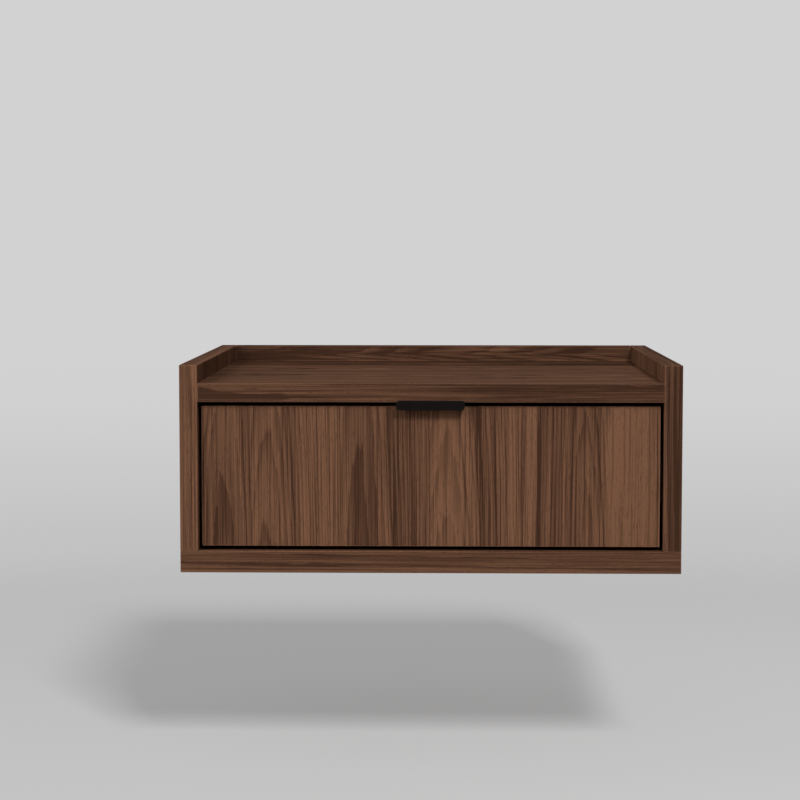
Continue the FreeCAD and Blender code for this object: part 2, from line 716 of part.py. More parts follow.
RUNNER_ORIGIN = f"(-{INNER_HALF})"
STOP_FRONT = f"({BOX_REAR} + stop_gap)"
CABINET_MEMBER_REAR = f"({STOP_FRONT} + stop_length)"
BALL_ROOM = "(ball_dia + 2*ball_play)"
CABINET_FLANGE = "(runner_height/2)"
OUTER_BALLS = f"({CABINET_FLANGE} - runner_sheet - {BALL_ROOM}/2)"
MIDDLE_FLANGE = f"({CABINET_FLANGE} - runner_sheet - {BALL_ROOM})"
INNER_BALLS = f"({MIDDLE_FLANGE} - runner_sheet - {BALL_ROOM}/2)"
DRAWER_FLANGE = f"({MIDDLE_FLANGE} - runner_sheet - {BALL_ROOM})"
MIDDLE_WEB = "(runner_sheet + runner_web_gap)"
MIDDLE_MOUTH = "(runner_thick - runner_sheet - middle_mouth_gap)"
DRAWER_TIP = "(runner_thick - drawer_member_deep)"
OUTER_CAGE = ("(runner_sheet + cage_play)", "(cabinet_member_deep - runner_sheet - cage_play)")
INNER_CAGE = (f"({MIDDLE_WEB} + runner_sheet + cage_play)", f"({MIDDLE_MOUTH} - runner_sheet - cage_play)")
CAGE_LENGTH = f"({BOX_LENGTH}/2 - 2*cage_end_gap)"
CAGE_FRONT = f"({FRONT_REAR} + {BOX_LENGTH}/2 - {CAGE_LENGTH}/2)"


def outwards(distance):
    """The place across the cabinet at a distance from the left side board's inner face."""
    return f"({RUNNER_ORIGIN} + {distance})"


def above(height):
    return f"({RUNNER_LEVEL} + {height})"


def below(height):
    return f"({RUNNER_LEVEL} - {height})"


def channel(label, web, mouth, flange, rear, lipped):
    """A bent steel channel along Y, from its web to its mouth, with or without lips at the mouth.

    The web lies nearer to the cabinet where it is the smaller distance, and nearer to the drawer otherwise.
    """
    to_drawer = value(mouth) > value(web)
    sign = "+" if to_drawer else "-"
    low, high = (web, mouth) if to_drawer else (mouth, web)
    outline = rectangle(outwards(low), outwards(high), below(flange), above(flange))
    member = prism(label, "Y", FRONT_REAR, rear, outline)
    fillet(member, "runner_bend", lambda edge: runs(edge, "+Y"))
    inside = f"({flange} - runner_sheet)"
    web_face = outwards(f"{web} {sign} runner_sheet")
    lip_face = outwards(f"{mouth} {'-' if to_drawer else '+'} runner_sheet")
    past_mouth = outwards(f"{mouth} {sign} runner_sheet")
    hollow_end = lip_face if lipped else past_mouth
    groove(member, "Y", FRONT_REAR, None, rectangle(web_face, hollow_end, below(inside), above(inside)))
    if lipped:
        opening = f"({inside} - runner_lip)"
        groove(member, "Y", FRONT_REAR, None, rectangle(lip_face, past_mouth, below(opening), above(opening)))
    return node(member)


def cage(label, span, row):
    """A thin plate beside the web, with a strip above and below that has a pocket for each ball."""
    web, mouth = (outwards(distance) for distance in span)
    rear = f"({CAGE_FRONT} + {CAGE_LENGTH})"
    reach = f"({row} + cage_strip/2)"
    body = prism(label, "Y", CAGE_FRONT, rear, rectangle(web, mouth, below(reach), above(reach)))
    hollow = f"({row} - cage_strip/2)"
    past = f"({mouth} + cage_sheet)"
    inner = f"({web} + cage_sheet)"
    groove(body, "Y", CAGE_FRONT, None, rectangle(inner, past, below(hollow), above(hollow)))
    places = [(ball_column(span), depth) for depth in BALL_DEPTHS]
    take_out(body, "Z", RUNNER_LEVEL, None, lambda flat: circles(flat, places, "ball_dia + 2*pocket_play"))
    return node(body)


BALL_DEPTHS = [
    f"({CAGE_FRONT} + cage_end + {index}*({CAGE_LENGTH} - 2*cage_end)/{BALLS_PER_ROW - 1})"
    for index in range(BALLS_PER_ROW)
]


def ball_column(span):
    """Where a cage's balls lie across the cabinet: midway over the strip beside its plate."""
    return outwards(f"({span[0]} + cage_sheet + {span[1]})/2")


def balls(label, span, row):
    """The upper and lower row of balls in one cage."""
    spheres = []
    for level in (above(row), below(row)):
        for depth in BALL_DEPTHS:
            sphere = doc.addObject("Part::Sphere", f"{label}_{len(spheres)}")
            aim(sphere, "+Z", (ball_column(span), depth, level))
            bind(sphere, "Radius", "ball_dia/2")
            spheres.append(sphere)
    return group(label, spheres)


LEVER_PIVOT = f"({FRONT_REAR} + {LEVER_PIVOT_SHARE}*{BOX_LENGTH})"
LEVER_BACK = "(runner_thick - runner_sheet - lever_play)"
LEVER_FACE = f"({LEVER_BACK} - lever_thick)"
PIN_HEAD_UNDER = f"({LEVER_FACE} - lever_play)"


def release_lever():
    """The left lever: an arm that turns on a pin, with a pad for the finger at its front end."""
    nose = f"({LEVER_PIVOT} - lever_front_arm)"
    pad_rear = f"({nose} + lever_pad_length)"
    tail = f"({LEVER_PIVOT} + lever_rear_arm)"
    outline = [
        (nose, below("lever_pad_height/2")),
        (pad_rear, below("lever_pad_height/2")),
        (pad_rear, below("lever_height/2")),
        (tail, below("lever_height/2")),
        (tail, above("lever_height/2")),
        (pad_rear, above("lever_height/2")),
        (pad_rear, above("lever_pad_height/2")),
        (nose, above("lever_pad_height/2")),
    ]
    lever = prism("release_lever_left", "X", outwards(LEVER_FACE), outwards(LEVER_BACK), outline)
    fillet(lever, "lever_round", lambda edge: runs(edge, "+X"))
    drill(lever, "X", outwards(LEVER_FACE), "lever_thick", [(LEVER_PIVOT, RUNNER_LEVEL)], "lever_pin_dia")
    return node(lever)


def lever_pins():
    """The pins of both levers, each with its foot in a hole of the drawer member."""
    pins = []
    for side, heading in (("1*", "-X"), ("-1*", "+X")):
        foot = (f"({side}{outwards('runner_thick')})", LEVER_PIVOT, RUNNER_LEVEL)
        head = along(foot, heading, f"runner_thick - {PIN_HEAD_UNDER}")
        shank = rod(f"lever_pin_shank_{len(pins)}", heading, foot, "lever_pin_dia",
                    f"runner_thick - {PIN_HEAD_UNDER}")
        cap = rod(f"lever_pin_head_{len(pins)}", heading, head, "lever_pin_head", "lever_pin_head_high")
        pins.append(fuse(f"lever_pin_{len(pins)}", shank, cap))
    group("release_lever_pins", pins)


def runners():
    cabinet = channel("runner_cabinet_member_left", "0", "cabinet_member_deep", CABINET_FLANGE,
                      CABINET_MEMBER_REAR, True)
    middle = channel("runner_middle_member_left", MIDDLE_WEB, MIDDLE_MOUTH, MIDDLE_FLANGE, BOX_REAR, True)
    drawer = channel("runner_drawer_member_left", "runner_thick", DRAWER_TIP, DRAWER_FLANGE, BOX_REAR, False)
    cabinet_screws = []
    drawer_screws = []
    for place in RUNNER_PLACES:
        countersink(cabinet, "-X", (outwards("runner_sheet"), place, RUNNER_LEVEL), "runner_screw_head",
                    "runner_screw_dia", "runner_sheet")
        countersink(drawer, "+X", (outwards("runner_thick - runner_sheet"), place, RUNNER_LEVEL),
                    "runner_screw_head", "runner_screw_dia", "runner_sheet")
    for side, place in both_sides(RUNNER_PLACES):
        inwards, outside = ("+X", "-X") if side == "-" else ("-X", "+X")
        turn = "1*" if side == "-" else "-1*"
        cabinet_head = f"({turn}{outwards('runner_sheet')})"
        drawer_head = f"({turn}{outwards('runner_thick - runner_sheet')})"
        cabinet_screws.append(flat_screw(
            f"cabinet_screw_{len(cabinet_screws)}", outside, (cabinet_head, place, RUNNER_LEVEL),
            "runner_screw_head", "runner_screw_dia", "runner_sheet", "(runner_sheet + cabinet_screw_bite)"))
        drawer_screws.append(flat_screw(
            f"drawer_screw_{len(drawer_screws)}", inwards, (drawer_head, place, RUNNER_LEVEL),
            "runner_screw_head", "runner_screw_dia", "runner_sheet", "(runner_sheet + drawer_screw_bite)"))
    pivot = [(LEVER_PIVOT, RUNNER_LEVEL)]
    drill(drawer, "X", outwards("runner_thick"), "runner_sheet", pivot, "lever_pin_dia")
    stop = prism("runner_stop_left", "Y", STOP_FRONT, CABINET_MEMBER_REAR,
                 rectangle(outwards("runner_sheet"), outwards("cabinet_member_deep - runner_sheet"),
                           below("stop_height/2"), above("stop_height/2")))
    lefts = [
        cabinet,
        middle,
        drawer,
        node(stop),
        cage("outer_ball_cage_left", OUTER_CAGE, OUTER_BALLS),
        cage("inner_ball_cage_left", INNER_CAGE, INNER_BALLS),
        balls("outer_balls_left", OUTER_CAGE, OUTER_BALLS),
        balls("inner_balls_left", INNER_CAGE, INNER_BALLS),
        release_lever(),
    ]
    for left in lefts:
        mirrored(left.Name.replace("_left", "_right"), left)
    group("runner_cabinet_screws", cabinet_screws)
    group("runner_drawer_screws", drawer_screws)
    lever_pins()


def write_parts():
    """Check every object of the document, then write each piece to its own file."""
    doc.recompute()
    for item in doc.Objects:
        if "Invalid" in item.State or "Error" in item.State:
            raise RuntimeError(f"{item.Label} failed: {item.State}")
    for piece in nodes:
        if piece.Shape.isNull() or not piece.Shape.isValid():
            raise RuntimeError(f"{piece.Label} has no valid shape")
    os.makedirs("parts", exist_ok=True)
    for piece in nodes:
        piece.Shape.exportStep(os.path.join("parts", f"{piece.Label}.step"))
        print(f"{piece.Label}: {len(piece.Shape.Solids)} solids, {piece.Shape.Volume:.0f} mm3")


base_board()
side_boards()
top_board()
gallery_rail()
back_panel()
hanging_stretcher()
carcass_fasteners()
wall_rail()
cabinet_rail()
drawer_front()
edge_pull()
drawer_box_sides()
drawer_box_ends()
drawer_box_bottom()
drawer_fasteners()
runners()
write_parts()
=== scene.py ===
"""A wall-hung walnut cabinet with one drawer: finishes, turned fixings and studio stage round its CAD frame.

The file is laid out as an add-on. Run as a script, it registers its classes, calls each operator once and
finishes the frame. Lengths are in metres: +Z is up, the front faces -Y and the wall is the plane y = 0.
"""
import json
from functools import partial
from math import pi

import bpy
import numpy as np
from mathutils import Matrix, Vector


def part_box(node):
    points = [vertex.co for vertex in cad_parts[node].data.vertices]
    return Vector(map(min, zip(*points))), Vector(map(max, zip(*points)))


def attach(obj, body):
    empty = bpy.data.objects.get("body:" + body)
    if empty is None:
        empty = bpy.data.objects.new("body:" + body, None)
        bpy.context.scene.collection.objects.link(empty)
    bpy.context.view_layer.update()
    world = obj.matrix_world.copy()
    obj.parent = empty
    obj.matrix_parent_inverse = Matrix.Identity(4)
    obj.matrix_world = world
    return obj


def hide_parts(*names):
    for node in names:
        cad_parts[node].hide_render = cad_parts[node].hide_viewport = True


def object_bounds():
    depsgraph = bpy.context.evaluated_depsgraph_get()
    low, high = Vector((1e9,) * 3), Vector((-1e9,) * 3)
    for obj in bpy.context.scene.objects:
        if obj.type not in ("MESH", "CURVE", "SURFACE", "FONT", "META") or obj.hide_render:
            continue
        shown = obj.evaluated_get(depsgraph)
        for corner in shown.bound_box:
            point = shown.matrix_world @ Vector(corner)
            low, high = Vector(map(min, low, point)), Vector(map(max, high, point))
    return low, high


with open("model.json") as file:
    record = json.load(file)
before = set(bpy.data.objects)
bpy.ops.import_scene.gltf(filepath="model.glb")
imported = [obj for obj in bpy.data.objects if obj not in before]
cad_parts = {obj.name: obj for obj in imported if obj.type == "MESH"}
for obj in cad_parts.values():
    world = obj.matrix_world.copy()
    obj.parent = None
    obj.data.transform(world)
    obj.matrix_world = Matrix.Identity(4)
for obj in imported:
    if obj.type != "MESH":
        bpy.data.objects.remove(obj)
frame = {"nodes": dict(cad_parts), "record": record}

bl_info = {
    "name": "Walnut hanging cabinet",
    "version": (1, 0, 0),
    "blender": (4, 5, 0),
    "location": "3D View > Sidebar > Cabinet",
    "description": "Dresses a wall-hung walnut cabinet in its woods, metals and studio stage",
    "category": "Object",
}

CAD_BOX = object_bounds()
AXES = {"X": Vector((1, 0, 0)), "Y": Vector((0, 1, 0)), "Z": Vector((0, 0, 1))}


# Sizes and colours that a user would change

def setting(kind, **limits):
    """A maker of properties of one kind, each with its own name, description and default."""
    return lambda name, words, default: kind(name=name, description=words, default=default, **limits)


# Linear colours without alpha, lengths and places in metres, angles, shares of another size, and watts
colour = setting(bpy.props.FloatVectorProperty, subtype="COLOR", size=3, min=0.0, max=1.0)
length = setting(bpy.props.FloatProperty, subtype="DISTANCE", unit="LENGTH", min=0.0, precision=5)
point = setting(bpy.props.FloatVectorProperty, subtype="TRANSLATION", unit="LENGTH", size=3, precision=5)
angle = setting(bpy.props.FloatProperty, subtype="ANGLE", unit="ROTATION", precision=5)
share = setting(bpy.props.FloatProperty, subtype="FACTOR", min=0.0, max=1.0)
power = setting(bpy.props.FloatProperty, subtype="POWER", unit="POWER", min=0.0)
# Counts, and focal lengths in millimetres
count = setting(bpy.props.IntProperty, min=3)
focal = setting(bpy.props.FloatProperty, min=1.0)


class CabinetWoods(bpy.types.PropertyGroup):
    """Colours and grain of the woods."""
    walnut_light: colour("Walnut light", "Early wood of the walnut", (0.205, 0.099, 0.056))
    walnut_dark: colour("Walnut dark", "Late wood and dark streaks of the walnut", (0.056, 0.0255, 0.0152))
    walnut_pore: colour("Walnut pores", "Open pores of the walnut", (0.026, 0.0125, 0.0075))
    # Walnut edges painted lighter: some wear, and a painted highlight where the arrises catch light
    walnut_arris: colour("Walnut arris", "Worn edges of the walnut", (0.34, 0.17, 0.099))
    walnut_ring: length("Walnut ring width", "Width of one growth ring of the walnut", 0.0026)
    birch_light: colour("Birch light", "Light wood of the drawer box", (0.62, 0.46, 0.30))
    birch_dark: colour("Birch dark", "Dark wood of the drawer box", (0.47, 0.32, 0.19))
    birch_ring: length("Birch ring width", "Width of one growth ring of the drawer box", 0.0034)
    beech_light: colour("Beech light", "Light wood of the dowels and pegs", (0.60, 0.42, 0.27))
    beech_dark: colour("Beech dark", "Dark wood of the dowels and pegs", (0.42, 0.26, 0.15))
    beech_ring: length("Beech ring width", "Width of one growth ring of the dowels and pegs", 0.002)
    # Band of lighter edges: wear on every wood, and on the walnut also a painted highlight
    arris_width: length("Arris width", "Width of the worn band along the edges of the boards", 0.0017)


class CabinetMetals(bpy.types.PropertyGroup):
    """Colours of the metals, the rubber and the plastic, and wear along the edges, which on the pull is also
    a painted highlight.
    """
    pull: colour("Pull", "Powder coat of the edge pull", (0.0048, 0.0036, 0.003))
    # The pull's edges are painted lighter: a little wear and a painted highlight
    pull_worn_lit_edge: colour("Pull edges", "Worn edges of the edge pull", (0.055, 0.046, 0.04))
    pull_wear: length("Pull wear", "Width of the worn edges of the edge pull", 0.0006)
    runner: colour("Runners", "Black coat of the runners", (0.026, 0.026, 0.027))
    runner_edge: colour("Runner edges", "Worn edges of the runners", (0.11, 0.11, 0.112))
    runner_wear: length("Runner wear", "Width of the worn edges of the runners", 0.0004)
    zinc: colour("Zinc", "Zinc plate of the cages and screws", (0.56, 0.575, 0.59))
    aluminium: colour("Aluminium", "Mill finish of the hanging rails", (0.57, 0.58, 0.59))
    aluminium_edge: colour("Aluminium edges", "Rubbed edges of the hanging rails", (0.8, 0.81, 0.82))
    aluminium_wear: length("Aluminium wear", "Width of the rubbed edges of the hanging rails", 0.0005)
    ball: colour("Balls", "Polished steel of the runner balls", (0.72, 0.72, 0.73))
    rubber: colour("Rubber", "Stops of the runners", (0.022, 0.022, 0.022))
    plastic: colour("Plastic", "Release levers of the runners", (0.03, 0.03, 0.031))


class CabinetFixings(bpy.types.PropertyGroup):
    """Threads, sockets and flutes of the fixings."""
    pitch: share("Thread pitch", "Rise of the thread in one turn, as a share of the shank's diameter", 0.42)
    core: share("Thread core", "Radius at the root of the thread, as a share of the shank's radius", 0.72)
    neck: share("Neck", "Plain length under the head, as a share of the shank's length", 0.22)
    tip: share("Tip", "Length of the tip, as a share of the shank's diameter", 0.75)
    socket: share("Socket width", "Corners of the hex socket, as a share of the head's diameter", 0.55)
    socket_deep: share("Socket depth", "Depth of the hex socket, as a share of the shank's diameter", 0.4)
    bevel: share("Head bevel", "Bevel of the head and the socket, as a share of the head's diameter", 0.04)
    flutes: count("Flutes", "Grooves round a dowel", 16)
    flute_deep: length("Flute depth", "Depth of the grooves of a dowel", 0.0003)
    dowel_bevel: length("Dowel bevel", "Bevel at the ends of the dowels", 0.001)


class CabinetStage(bpy.types.PropertyGroup):
    """Floor, light and camera."""
    floor: colour("Floor", "Pale floor", (0.835, 0.835, 0.835))
    floor_glow: colour("Floor glow", "What the camera sees mixed into the floor", (0.97, 0.97, 0.97))
    glow_share: share("Glow share", "How much of the glow the camera sees", 0.3)
    floor_drop: length("Floor drop", "Height of the base board over the floor", 0.2)
    floor_radius: length("Floor radius", "Radius of the floor's disc", 4.0)
    fade_front: length("Fade centre", "How far before the wall the middle of the floor's clear part is", 0.4)
    fade_start: length("Fade start", "How far from that middle the floor starts to thin out", 0.8)
    fade_end: length("Fade end", "How far from that middle the floor is gone", 1.6)
    backdrop: colour("Backdrop", "Pale surround above the floor's edge", (0.645, 0.645, 0.65))
    horizon: colour("Horizon", "Surround where it meets the floor", (0.505, 0.505, 0.505))
    ambient: colour("Ambient", "Light of the surround on the cabinet", (0.12, 0.12, 0.12))
    key_place: point("Key place", "Where the light from the right stands", (1.288, -4.094, 3.451))
    key_watts: power("Key light", "Power of the light from the right", 147.0)
    side_place: point("Side place", "Where the soft light from the left stands", (-2.53, -2.0, 1.55))
    side_watts: power("Side light", "Power of the soft light from the left", 76.0)
    camera_place: point("Camera place", "Where the camera stands", (0.01669, -2.46011, 0.22703))
    camera_tilt: angle("Camera tilt", "How far the camera looks down", 0.07632)
    camera_turn: angle("Camera turn", "How far the camera looks to the left", 0.02272)
    lens: focal("Lens", "Focal length of the camera in millimetres", 93.7)


# Node trees

def feed(tree, socket, source):
    """Link an input to another node's output, or give it a plain value."""
    if isinstance(source, bpy.types.NodeSocket):
        tree.links.new(source, socket)
    else:
        socket.default_value = source


def step(tree, kind, inputs=(), **settings):
    """Add a node with settings, and feed its inputs from sockets or plain values."""
    made = tree.nodes.new(kind)
    for name, choice in settings.items():
        setattr(made, name, choice)
    for key, source in dict(inputs).items():
        feed(tree, made.inputs[key], source)
    return made


def maths(tree, operation, *values, clamp=False):
    """The result of a Math node."""
    return step(tree, "ShaderNodeMath", enumerate(values), operation=operation, use_clamp=clamp).outputs[0]


def swing(tree, value, width):
    """A value from 0 to 1 turned into a swing about zero, as wide as given."""
    return maths(tree, "MULTIPLY", maths(tree, "SUBTRACT", value, 0.5), width)


def ramp(tree, value, low, high):
    """A value eased from 0 at low to 1 at high."""
    return step(tree, "ShaderNodeMapRange", {"Value": value, "From Min": low, "From Max": high},
                interpolation_type="SMOOTHSTEP").outputs[0]


def vector_maths(tree, operation, inputs):
    """The outputs of a Vector Math node."""
    return step(tree, "ShaderNodeVectorMath", inputs, operation=operation).outputs


def noise(tree, vector, waves, detail=2.0, rough=0.5):
    """Smooth noise with its own waves per metre along each axis: a value from 0 to 1, and a colour."""
    scaled = vector_maths(tree, "MULTIPLY", {0: vector, 1: waves})[0]
    return step(tree, "ShaderNodeTexNoise", {"Vector": scaled, "Scale": 1.0, "Detail": detail,
                                             "Roughness": rough}).outputs


def blend_colours(tree, amount, first, second):
    """Two colours mixed by an amount. A Mix node has its colours at the inputs 6 and 7."""
    return step(tree, "ShaderNodeMix", {0: amount, 6: first, 7: second}, data_type="RGBA").outputs[2]


def blend_values(tree, amount, first, second):
    """Two values mixed by an amount. A Mix node has its values at the inputs 2 and 3."""
    return step(tree, "ShaderNodeMix", {0: amount, 2: first, 3: second}).outputs[0]


def opaque(rgb):
    """A colour with full alpha, as colour sockets take it."""
    return (*rgb, 1.0)


# Node groups that materials share

def new_group(name, inputs, outputs):
    """A shader node group with named sockets, and its input and output nodes."""
    group = bpy.data.node_groups.new(name, "ShaderNodeTree")
    for label, kind, default in inputs:
        socket = group.interface.new_socket(name=label, in_out="INPUT", socket_type=f"NodeSocket{kind}")
        if default is not None:
            socket.default_value = default
    for label, kind in outputs:
        group.interface.new_socket(name=label, in_out="OUTPUT", socket_type=f"NodeSocket{kind}")
    return group, group.nodes.new("NodeGroupInput"), group.nodes.new("NodeGroupOutput")


def put_out(group, result, **sources):
    """Link what a group has made to its named outputs, and give the group back."""
    for label, source in sources.items():
        group.links.new(source, result.inputs[label])
    return group


# Waves per metre of the grain's marks: along the grain, across the board and through it
GRAIN_WAVES = {
    "bend": (3.0, 9.0, 9.0),
    "ripple": (22.0, 260.0, 260.0),
    "fibre": (7.0, 900.0, 900.0),
    "ribbon": (4.0, 330.0, 330.0),
    "mottle": (2.6, 26.0, 26.0),
    "speck": (130.0, 2600.0, 2600.0),
}
# How much each mark darkens the wood, the wood's own darkness, and how far the leaves differ
MARK_SHADES = {"streak": 1.3, "late": 0.36, "fibre": 1.45, "ribbon": 1.3, "mottle": 0.4}
WOOD_SHADE = 0.17
LEAF_SHADES = 0.3
# Steps between the random numbers of two boards, and between the streaks of two leaves
SEED_STEP = 13.7
STREAK_STEP = 7.3
# Length of log that the leaves come from
LOG_LENGTH = 5.0
# Streaks in a ring, and rings by which ripples and streaks push the rings out
STREAKS_PER_RING = 0.31
RIPPLE_PUSH = 0.7
STREAK_PUSH = 1.3
# Where in a ring the late wood grows and ends
LATE_GROWS = (0.35, 0.92)
LATE_ENDS = (0.93, 1.0)
# Specks that count as pores, the share of pores missing in late wood, and how dark a pore is
PORE_SPECKS = (0.6, 0.72)
PORES_LOST = 0.7
PORE_SHADE = 0.62
# Roughness of the wood, and what fibres and pores add
WOOD_ROUGH = 0.38
FIBRE_ROUGH = 0.16
PORE_ROUGH = 0.2
# Height of the fibres and depth of the late wood, beside a pore's depth of 1
FIBRE_HIGH = 0.5
LATE_DEEP = 0.12


def grain_group(name):
    """Wood cut from a log: growth rings round a pith beside each leaf, with streaks, fibres and pores.

    The vector runs along the grain in X, across the board in Y and through it in Z. Every leaf of the board
    has a pith of its own. The distance from the pith, bent by slow noise, counts the rings.
    """
    group, given, result = new_group(name, (
        ("Vector", "Vector", None),
        ("Leaf", "Float", 0.2),
        ("Seed", "Float", 0.0),
        ("Ring", "Float", 0.003),
        ("Pith", "Float", 0.06),
        ("Lean", "Float", 0.05),
        ("Wander", "Float", 0.006),
        ("Tone", "Float", 0.0),
        ("Band", "Float", 0.0),
        ("Contrast", "Float", 1.0),
        ("Light", "Color", None),
        ("Dark", "Color", None),
        ("Pore", "Color", None),
    ), (("Color", "Color"), ("Roughness", "Float"), ("Height", "Float")))
    sockets = given.outputs
    do = partial(maths, group)

    # Leaves side by side, each with random numbers and its own stretch of the log
    place = step(group, "ShaderNodeSeparateXYZ", {0: sockets["Vector"]}).outputs
    leaf = do("FLOOR", do("DIVIDE", place[1], sockets["Leaf"]))
    seed = do("MULTIPLY_ADD", sockets["Seed"], SEED_STEP, leaf)
    draw = step(group, "ShaderNodeTexWhiteNoise", {"W": seed}, noise_dimensions="1D").outputs["Color"]
    chance = step(group, "ShaderNodeSeparateColor", {0: draw}).outputs
    leaf_middle = do("MULTIPLY", do("ADD", leaf, 0.5), sockets["Leaf"])
    off_pith = swing(group, chance[0], sockets["Leaf"])
    across = do("ADD", do("SUBTRACT", place[1], leaf_middle), off_pith)
    along = do("MULTIPLY_ADD", chance[1], LOG_LENGTH, place[0])
    log_place = step(group, "ShaderNodeCombineXYZ", {0: along, 1: place[1], 2: place[2]}).outputs[0]
    mark = partial(noise, group, log_place)

    # Rings counted from a pith that leans through the board and wanders
    bend = step(group, "ShaderNodeSeparateColor", {0: mark(GRAIN_WAVES["bend"])["Color"]}).outputs
    pith = do("MULTIPLY", sockets["Pith"], do("ADD", chance[2], 0.5))
    depth = do("ADD", do("MULTIPLY_ADD", place[0], sockets["Lean"], place[2]), pith)
    side = do("ADD", across, swing(group, bend[0], sockets["Wander"]))
    deep = do("ADD", depth, swing(group, bend[1], sockets["Wander"]))
    radius = do("SQRT", do("MULTIPLY_ADD", side, side, do("MULTIPLY", deep, deep)))
    ripple = do("MULTIPLY", mark(GRAIN_WAVES["ripple"])[0], RIPPLE_PUSH)
    rings = do("ADD", do("DIVIDE", radius, sockets["Ring"]), ripple)

    # Marks: dark streaks along some rings, late wood in each ring, fibres, ribbons, mottling and pores
    streak_at = do("MULTIPLY_ADD", rings, STREAKS_PER_RING, do("MULTIPLY", leaf, STREAK_STEP))
    streak = step(group, "ShaderNodeTexNoise",
                  {"W": streak_at, "Scale": 1.0, "Detail": 2.5, "Roughness": 0.55},
                  noise_dimensions="1D").outputs[0]
    phase = do("FRACT", do("MULTIPLY_ADD", streak, STREAK_PUSH, rings))
    late = do("MULTIPLY", ramp(group, phase, *LATE_GROWS),
              do("SUBTRACT", 1.0, ramp(group, phase, *LATE_ENDS)))
    fibre = mark(GRAIN_WAVES["fibre"], rough=0.6)[0]
    ribbon = mark(GRAIN_WAVES["ribbon"], rough=0.55)[0]
    mottle = mark(GRAIN_WAVES["mottle"])[0]
    speck = mark(GRAIN_WAVES["speck"], detail=1.0)[0]
    pore = do("MULTIPLY", ramp(group, speck, *PORE_SPECKS), do("MULTIPLY_ADD", late, -PORES_LOST, 1.0))

    # Shade from the marks about their middle, then the leaf's, the band's and the board's own tone
    marks = {"streak": streak, "late": late, "fibre": fibre, "ribbon": ribbon, "mottle": mottle}
    shade = WOOD_SHADE - 0.5*sum(MARK_SHADES.values())
    for label, weight in MARK_SHADES.items():
        shade = do("MULTIPLY_ADD", marks[label], weight, shade)
    leaf_shade = swing(group, chance[1], LEAF_SHADES)
    shade = do("MULTIPLY", do("ADD", shade, leaf_shade), sockets["Contrast"])
    shade = do("ADD", do("ADD", shade, sockets["Band"]), 0.5)
    shade = do("ADD", shade, sockets["Tone"], clamp=True)
    wood = blend_colours(group, shade, sockets["Light"], sockets["Dark"])
    wood = blend_colours(group, do("MULTIPLY", pore, PORE_SHADE), wood, sockets["Pore"])
    rough = do("MULTIPLY_ADD", pore, PORE_ROUGH, do("MULTIPLY_ADD", fibre, FIBRE_ROUGH, WOOD_ROUGH))
    height = do("SUBTRACT", do("MULTIPLY", fibre, FIBRE_HIGH), do("MULTIPLY_ADD", late, LATE_DEEP, pore))
    return put_out(group, result, Color=wood, Roughness=rough, Height=height)


# Cosine of the turn from the true normal to the softened one, on the flat and on an edge
EDGE_TURN = (0.995, 0.86)
# Waves per metre of the patches of wear, and the noise from which a patch is whole
PATCH_WAVES = (45.0, 45.0, 45.0)
WHOLE_PATCH = 0.62


def edge_group(name):
    """How far the surface turns within a width: 0 on the flat and 1 on an edge, broken up by noise."""
    group, given, result = new_group(name, (
        ("Vector", "Vector", None), ("Width", "Float", 0.001), ("Break", "Float", 0.5),
    ), (("Mask", "Float"),))
    soft = step(group, "ShaderNodeBevel", {"Radius": given.outputs["Width"]}, samples=4).outputs[0]
    true = step(group, "ShaderNodeNewGeometry").outputs["True Normal"]
    turn = vector_maths(group, "DOT_PRODUCT", {0: soft, 1: true})["Value"]
    patches = noise(group, given.outputs["Vector"], PATCH_WAVES, detail=3.0, rough=0.6)[0]
    lost = maths(group, "SUBTRACT", patches, WHOLE_PATCH)
    kept = maths(group, "MULTIPLY_ADD", lost, given.outputs["Break"], 1.0, clamp=True)
    return put_out(group, result, Mask=maths(group, "MULTIPLY", ramp(group, turn, *EDGE_TURN), kept))


# Waves per metre of a worked surface's marks: along its lines, across them and through them
SURFACE_WAVES = {
    "hairs": (6.0, 1500.0, 1500.0),
    "bands": (1.5, 210.0, 210.0),
    "cloud": (38.0, 38.0, 38.0),
}
# How much the unevenness changes the roughness, and height of the lines beside the grain's
UNEVEN_ROUGH = 0.25
LINES_HIGH = 2.0


def surface_group(name):
    """Fine unevenness of a worked metal, coat or moulding: lines along X, mottling and a grainy height."""
    group, given, result = new_group(name, (
        ("Vector", "Vector", None), ("Lines", "Float", 0.5), ("Grain", "Float", 900.0),
        ("Color", "Color", None), ("Spread", "Float", 0.1), ("Roughness", "Float", 0.4),
    ), (("Color", "Color"), ("Roughness", "Float"), ("Height", "Float")))
    sockets = given.outputs
    do = partial(maths, group)
    mark = partial(noise, group, sockets["Vector"], rough=0.6)
    hairs = mark(SURFACE_WAVES["hairs"], detail=3.0)[0]
    bands = mark(SURFACE_WAVES["bands"])[0]
    cloud = mark(SURFACE_WAVES["cloud"], detail=3.0)[0]
    grain = step(group, "ShaderNodeTexNoise", {"Vector": sockets["Vector"], "Scale": sockets["Grain"],
                                               "Detail": 2.0}).outputs[0]
    lines = do("MULTIPLY_ADD", bands, 0.5, do("MULTIPLY", hairs, 0.5))
    drawn = swing(group, lines, sockets["Lines"])
    uneven = do("ADD", do("SUBTRACT", cloud, 0.5), drawn)
    scale = do("MULTIPLY_ADD", uneven, sockets["Spread"], 1.0)
    tint = vector_maths(group, "SCALE", {0: sockets["Color"], "Scale": scale})[0]
    rough = do("MULTIPLY_ADD", uneven, UNEVEN_ROUGH, sockets["Roughness"], clamp=True)
    height = do("MULTIPLY_ADD", drawn, LINES_HIGH, grain)
    return put_out(group, result, Color=tint, Roughness=rough, Height=height)


# The edge group marks lighter edges: wear, and on the walnut and the pull also a painted highlight
GROUPS = {"board grain": grain_group, "edge wear": edge_group, "worked surface": surface_group}


def use_group(tree, name, inputs):
    """Place a shared group in a material, made when it is first used, and feed it."""
    group = bpy.data.node_groups.get(name) or GROUPS[name](name)
    return step(tree, "ShaderNodeGroup", inputs, node_tree=group).outputs


# Materials

